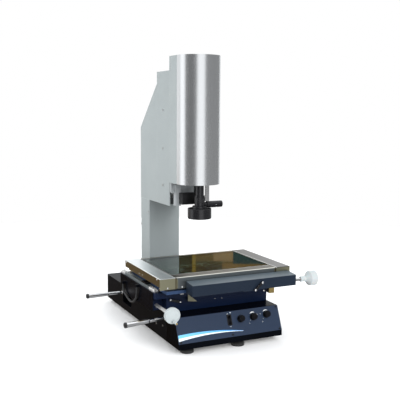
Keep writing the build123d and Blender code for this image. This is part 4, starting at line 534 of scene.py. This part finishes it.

# Bed and head screws: small plated button heads in the bed's front, a polished plug at its right
# end, one screw in the head's plate and one in its side, and on the coaxial light a flat white dot that is a
# painted glint.
FORWARD, LEFTWARD = (0, -1, 0), (-1, 0, 0)
SMALL_HEADS = (("bed_screw_left", "base", (-0.0128, -0.270, 0.1475), FORWARD, 0.0018),
               ("bed_screw_right", "base", (0.0149, -0.270, 0.1462), FORWARD, 0.0018),
               ("bed_plug", "base", (0.1865, -0.270, 0.1550), FORWARD, 0.0045),
               ("head_plate_screw", "head", (-0.0398, -0.0302, 0.5092), FORWARD, 0.0016),
               ("head_side_screw", "head", (-0.0823, -0.0294, 0.8581), LEFTWARD, 0.0025))
for name, body, place, way, radius in SMALL_HEADS:
    head = turned(name, place, way, dome(radius, radius * 0.5))
    dress(plated, head)
    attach(head, body)
# A flat white dot: a painted glint on the coaxial light.
painted_glint = turned("coaxial_light_glint", (0.0614, -0.1250, 0.4591), FORWARD, DOT, 16)
dress(ink, painted_glint)
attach(painted_glint, "head")

# Lever domes: chromed cap nuts on the hub and the end of each lock lever's arm.
chrome = brushed("chromed_dome", (0.84, 0.84, 0.85), (0.92, 0.92, 0.92), 0.10, (1, 1, 1))
LEVER_DOMES = (("y_lever", "hub", (-0.1490, -0.2783, 0.1520)), ("y_lever", "end", (-0.1853, -0.2783, 0.1631)),
               ("x_lever", "hub", (0.0750, -0.4023, 0.1990)), ("x_lever", "end", (0.1022, -0.4023, 0.2226)))
for body, spot, place in LEVER_DOMES:
    head = turned(f"{body}_dome_{spot}", place, FORWARD, dome(0.0043, 0.0027))
    dress(chrome, head)
    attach(head, body)

# Y scale: an anodised channel beside the bed, screwed down by bright end blocks with domed screws.
scale_metal = Finish("scale_and_ends", IOR=1.5)
CHANNEL_FRONT, CHANNEL_REAR = -0.2238, 0.0178
ends = 1 - scale_metal.axis("Y").within(CHANNEL_FRONT, CHANNEL_REAR)
drawn = scale_metal.noise(300, 3, 0.5, (1, 0.05, 1))
# The end blocks are painted pale grey with little metal, so that they look bright as chrome: a painted
# highlight.
scale_metal.feed(
    Base_Color=scale_metal.colours(ends, (0.125, 0.145, 0.150), (0.86, 0.86, 0.86)),
    Metallic=ends * 0.30 + 0.15, Roughness=0.34 - ends * 0.22 + drawn * 0.06,
    Normal=scale_metal.relief(scale_metal.noise(600, 2, 0.5, (1, 0.05, 1)), 0.00002))
dress(scale_metal, "y_scale")

# Drive rods: hard steel that turns in the bearing blocks. The X rod is polished, and the Y rod is
# duller from grease.
ROD_COLOURS = ((0.72, 0.72, 0.72), (0.84, 0.84, 0.84))
dress(brushed("polished_rod", *ROD_COLOURS, 0.14, (0.2, 0.2, 1)), "x_drive_rod")
dress(brushed("y_rod_steel", *ROD_COLOURS, 0.20, (0.2, 0.2, 1), metal=0.4), "y_drive_rod")

# Handwheels: turned from white acetal, slightly grey where hands hold them. The Y wheel's crank
# turns on a brass pin.
ACETAL, HANDLED_ACETAL = (0.44, 0.48, 0.49), (0.38, 0.41, 0.41)
acetal = Finish("white_acetal", IOR=1.48, Subsurface_Weight=0.08, Coat_Weight=0.1)
handled = acetal.noise(35, 4, 0.6).ramp(0.35, 0.7)
acetal.feed(
    Base_Color=acetal.colours(handled * 0.5, ACETAL, HANDLED_ACETAL),
    Roughness=0.28 + handled * 0.12, Normal=acetal.relief(acetal.noise(1200, 2), 0.00003, 0.0008))
dress(acetal, "x_handwheel", "z_handwheel", "y_crank_sleeve")
wheel_and_pin = Finish("y_wheel_and_pin", IOR=1.48)
brass_pin = wheel_and_pin.box((-0.2216, -0.41, 0.1154), (-0.2144, -0.3735, 0.1226))
grime = wheel_and_pin.noise(35, 4, 0.6).ramp(0.35, 0.7)
wheel_colour = wheel_and_pin.colours(grime * 0.5, ACETAL, HANDLED_ACETAL)
wheel_and_pin.feed(
    Base_Color=wheel_and_pin.colours(brass_pin, wheel_colour, (0.66, 0.48, 0.18)),
    Metallic=brass_pin, Roughness=0.28 + grime * 0.1,
    Normal=wheel_and_pin.relief(wheel_and_pin.noise(1200, 2), 0.00003, 0.0008))
dress(wheel_and_pin, "y_handwheel")

# Optics and small drive pieces: aluminium turned and black anodised, with a satin finish and
# edges painted paler as a highlight. The ring light's diffuser is milky plastic.
def anodised(name):
    """Black anodised metal with fine turning marks and edges painted slightly paler as a highlight."""
    finish = Finish(name, IOR=1.6, Metallic=0.35)
    marks = finish.noise(1200, 2, 0.5, (0.1, 0.1, 1))
    # The paler edge colour is a painted highlight.
    return finish, marks, finish.colours(finish.edge(0.0005), (0.011, 0.011, 0.013), (0.09, 0.09, 0.095))


black, turning, black_with_edge_highlight = anodised("black_anodised")
black.feed(Base_Color=black_with_edge_highlight, Roughness=0.20 + turning * 0.12, Normal=black.relief(turning, 0.00003, 0.0005))
dress(black, "zoom_lens", "zoom_ring", "camera", "coaxial_light", "y_drive_nut", "x_drive_nut",
      "x_lock_lever", "y_lock_lever")
OPTICAL_Y = -0.113
DIFFUSER_RADIUS = 0.0405
ring_finish, turning, black_with_edge_highlight = anodised("ring_light_finish")
sideways, forward = ring_finish.axis("X"), ring_finish.axis("Y") - OPTICAL_Y
from_axis = sideways * sideways + forward * forward
milky = (1 - from_axis.above(DIFFUSER_RADIUS ** 2)) * ring_finish.axis("Z").within(0.4095, 0.4315)
ring_finish.feed(
    Base_Color=ring_finish.colours(milky, black_with_edge_highlight, (0.75, 0.76, 0.74)), Metallic=0.35 - milky * 0.35,
    Roughness=0.20 + turning * 0.12, Normal=ring_finish.relief(turning, 0.00003, 0.0005))
dress(ring_finish, "ring_light")
dress(brushed("clamp_metal", (0.55, 0.55, 0.55), (0.72, 0.72, 0.72), 0.28, (1, 1, 1)), "lens_clamp")

# Lens bracket: a grey plate under the carriage with a black block on it, and the contour light's
# black lamp with its glass lens in the bed.
bracket_finish = Finish("bracket_and_block", IOR=1.5)
block = bracket_finish.box((-0.046, -0.062, 0.44), (0.016, -0.0303, 0.51))
bracket_finish.feed(
    Base_Color=bracket_finish.colours(block, (0.34, 0.36, 0.37), (0.006, 0.006, 0.007)),
    Roughness=0.45 - block * 0.1 + bracket_finish.noise(200, 3) * 0.1,
    Normal=bracket_finish.relief(bracket_finish.noise(700, 2), 0.00004))
dress(bracket_finish, "lens_bracket")
lamp_finish, turning, black_with_edge_highlight = anodised("contour_light_finish")
CONDENSER_BOTTOM = 0.1801
lens_mask = lamp_finish.axis("Z").above(CONDENSER_BOTTOM)
lamp_finish.feed(
    Base_Color=lamp_finish.colours(lens_mask, black_with_edge_highlight, (0.55, 0.62, 0.60)), Metallic=0.35 - lens_mask * 0.35,
    Roughness=0.30 - lens_mask * 0.22 + turning * 0.1, Normal=lamp_finish.relief(turning, 0.00003, 0.0005))
dress(lamp_finish, "contour_light")

# Stops on the bed: a folded bracket painted khaki and a brass block.
stops = Finish("bracket_and_brass")
BRASS_LEFT = 0.15
brass_area = stops.axis("X").above(BRASS_LEFT)
stops.feed(
    Base_Color=stops.colours(brass_area, (0.19, 0.18, 0.115), (0.68, 0.50, 0.20)), Metallic=brass_area,
    Roughness=0.38 - brass_area * 0.1 + stops.noise(300, 3) * 0.1,
    Normal=stops.relief(stops.noise(800, 2), 0.00004))
dress(stops, "bed_stops")

# Carrying bars: polished and chromed steel, tapered, with moulded caps on their ends.
bars = Finish("chromed_bars")
CAPS_START = -0.3375
capped = 1 - bars.axis("X").above(CAPS_START)
bars.feed(
    Base_Color=bars.colours(capped, (0.86, 0.86, 0.87), (0.015, 0.015, 0.016)), Metallic=1 - capped,
    Roughness=0.06 + capped * 0.35 + bars.noise(80, 3) * 0.03,
    Normal=bars.relief(bars.noise(500, 2), 0.00001))
dress(bars, "carrying_bars")

# Feet and plated steel: rubber feet on steel studs, the zinc-plated floor plate and runner blocks,
# and the cover screws, blackened where they hold the control panel.
rubber = Finish("foot_rubber", IOR=1.5)
rubber.feed(
    Base_Color=rubber.colours(rubber.noise(120, 3), (0.014, 0.014, 0.014), (0.026, 0.026, 0.026)),
    Roughness=0.6 + rubber.noise(200, 3) * 0.2, Normal=rubber.relief(rubber.noise(900, 3), 0.0001, 0.001))
dress(rubber, "levelling_feet")
dress(brushed("zinc_plate", (0.50, 0.50, 0.49), (0.64, 0.64, 0.62), 0.34, (1, 1, 1)),
      "floor_plate", "z_runner_blocks")
screws = Finish("cover_screw_steel", IOR=1.5)
PANEL_SCREWS_REAR = -0.300
blackened = 1 - screws.axis("Y").above(PANEL_SCREWS_REAR)
screws.feed(
    Base_Color=screws.colours(blackened, (0.55, 0.55, 0.54), (0.010, 0.010, 0.011)),
    Metallic=1 - blackened * 0.7, Roughness=0.34 + screws.noise(300, 2) * 0.08,
    Normal=screws.relief(screws.noise(900, 2), 0.00002, 0.0004))
dress(screws, "cover_screws")

# Electrics: the supply and the board inside the base, and the sockets in its rear wall.
electric = Finish("electrics", IOR=1.5)
electric.feed(
    Base_Color=electric.colours(electric.noise(30, 4), (0.03, 0.04, 0.035), (0.05, 0.06, 0.05)),
    Roughness=0.5 + electric.noise(200, 3) * 0.2, Normal=electric.relief(electric.noise(900, 2), 0.00005))
dress(electric, "base_electrics", "rear_sockets")

# Studio: a round white floor and an even white backdrop. What metal mirrors is a room of tall pale
# panels and darker gaps, given by direction, and three large soft lamps light the paint.
turn = np.linspace(0, 2 * np.pi, 96, endpoint=False)[None, :]
reach = np.array([0.02, 0.8, 1.6, 2.6])[:, None]
rings = np.stack(np.broadcast_arrays(reach * np.cos(turn), reach * np.sin(turn), 0.0), axis=-1)
floor = surface("studio_floor", rings)
paper = Finish("studio_paper", IOR=1.3)
paper.feed(
    Base_Color=paper.colours(paper.noise(3, 2), (0.90, 0.90, 0.90), (0.92, 0.92, 0.92)),
    Roughness=0.8 + paper.noise(20, 2) * 0.1)
dress(paper, floor)
floor.visible_glossy = False


class Room(Finish):
    """The world's background, which depends on direction alone."""

    def __init__(self, name):
        self.world = bpy.data.worlds.new(name)
        self.world.use_nodes = True
        self.tree = self.world.node_tree
        self.place = self.node("ShaderNodeTexCoord", {}, {}, "Generated")

    def band(self, azimuth, low, high, soft=3.0):
        """1 where the azimuth lies between two angles in degrees, else 0, with soft edges."""
        return azimuth.ramp(low - soft, low + soft) * (1 - azimuth.ramp(high - soft, high + soft))


# Azimuth is 0 in front of the machine, 90 on its right and 180 behind it, in degrees. Height is the
# sine of the elevation.
room = Room("studio")
east, north, height = (room.axis(letter) for letter in "XYZ")
azimuth = east.maths("ARCTAN2", east, 0 - north) * (180 / math.pi)
behind = 1 - azimuth.within(-128, 118)
shade = 0.33 + room.band(azimuth, -125, -92) * 1.15 + room.band(azimuth, -28, 13) * 1.0
shade = shade - room.band(azimuth, -86, -38) * 0.10 + behind * 0.72
below = 1 - height.ramp(-0.17, -0.12)
shade = shade * (1 - below * behind * 0.93)
ceiling = height.ramp(0.45, 0.75)
shade = shade * (1 - ceiling) + ceiling * 1.25
tint = room.colours(azimuth.within(-180, -128) * below, (0.97, 0.985, 1.0), (1.0, 0.60, 0.16))

# Behind the machine: a doorway and a cupboard, which only the glass shows sharply, as plain
# patches of colour between two azimuths and below or above a height.
doorway = azimuth.within(148.6, 156.9) * height.within(0.166, 0.250)
over_shelf, over_box = height.above(0.2111), height.above(0.2145)
PATCHES = ((154.75, 155.03, 1.0, (0.34, 0.24, 0.05)), (152.55, 154.75, over_shelf, (0.10, 0.075, 0.035)),
           (151.66, 153.28, 1 - over_shelf, (0.40, 0.28, 0.14)),
           (148.6, 151.66, 1 - over_box, (0.045, 0.085, 0.085)),
           (148.6, 152.55, over_box, (0.32, 0.20, 0.07)))
scene_behind = room.colours(azimuth.within(154.75, 156.2), (0.20, 0.135, 0.050), (0.065, 0.052, 0.024))
for left, right_end, part, patch_colour in PATCHES:
    scene_behind = room.colours(azimuth.within(left, right_end) * part, scene_behind, patch_colour)
seen = room.node("ShaderNodeLightPath", {}, {}, "Is Camera Ray")
colour = room.node("ShaderNodeVectorMath", {"operation": "SCALE"}, {0: tint, "Scale": shade}, "Vector")
colour = room.colours(doorway, colour, scene_behind)
colour = room.colours(seen, colour, (1.0, 1.0, 1.0))
room.tree.links.new(colour.socket, room.tree.nodes["Background"].inputs["Color"])
bpy.context.scene.world = room.world


MACHINE_MIDDLE = (0, -0.1, 0.5)


def softbox(name, place, target, size, power):
    """A rectangular light at a place that faces the target. Metal doesn't mirror it."""
    data = bpy.data.lights.new(name, "AREA")
    data.shape = "RECTANGLE"
    data.size, data.size_y = size
    data.energy = power
    lamp_object = bpy.data.objects.new(name, data)
    aim = Vector(target) - Vector(place)
    lamp_object.matrix_world = Matrix.Translation(place) @ aim.to_track_quat("-Z", "Y").to_matrix().to_4x4()
    lamp_object.visible_glossy = False
    bpy.context.scene.collection.objects.link(lamp_object)


def around(azimuth, distance, height):
    """A place round the machine: azimuth 0 is in front, positive to the right, in degrees."""
    a = math.radians(azimuth)
    return (distance * math.sin(a), MACHINE_MIDDLE[1] - distance * math.cos(a), height)


softbox("front_light", around(10, 3.4, 1.7), MACHINE_MIDDLE, (1.8, 1.8), 100)
softbox("left_light", around(-100, 2.6, 1.5), MACHINE_MIDDLE, (1.5, 1.5), 26)
softbox("rear_light", around(170, 3.0, 2.2), (0, 0.8, 0), (2.5, 1.2), 45)
bpy.context.scene.view_settings.view_transform = "Standard"
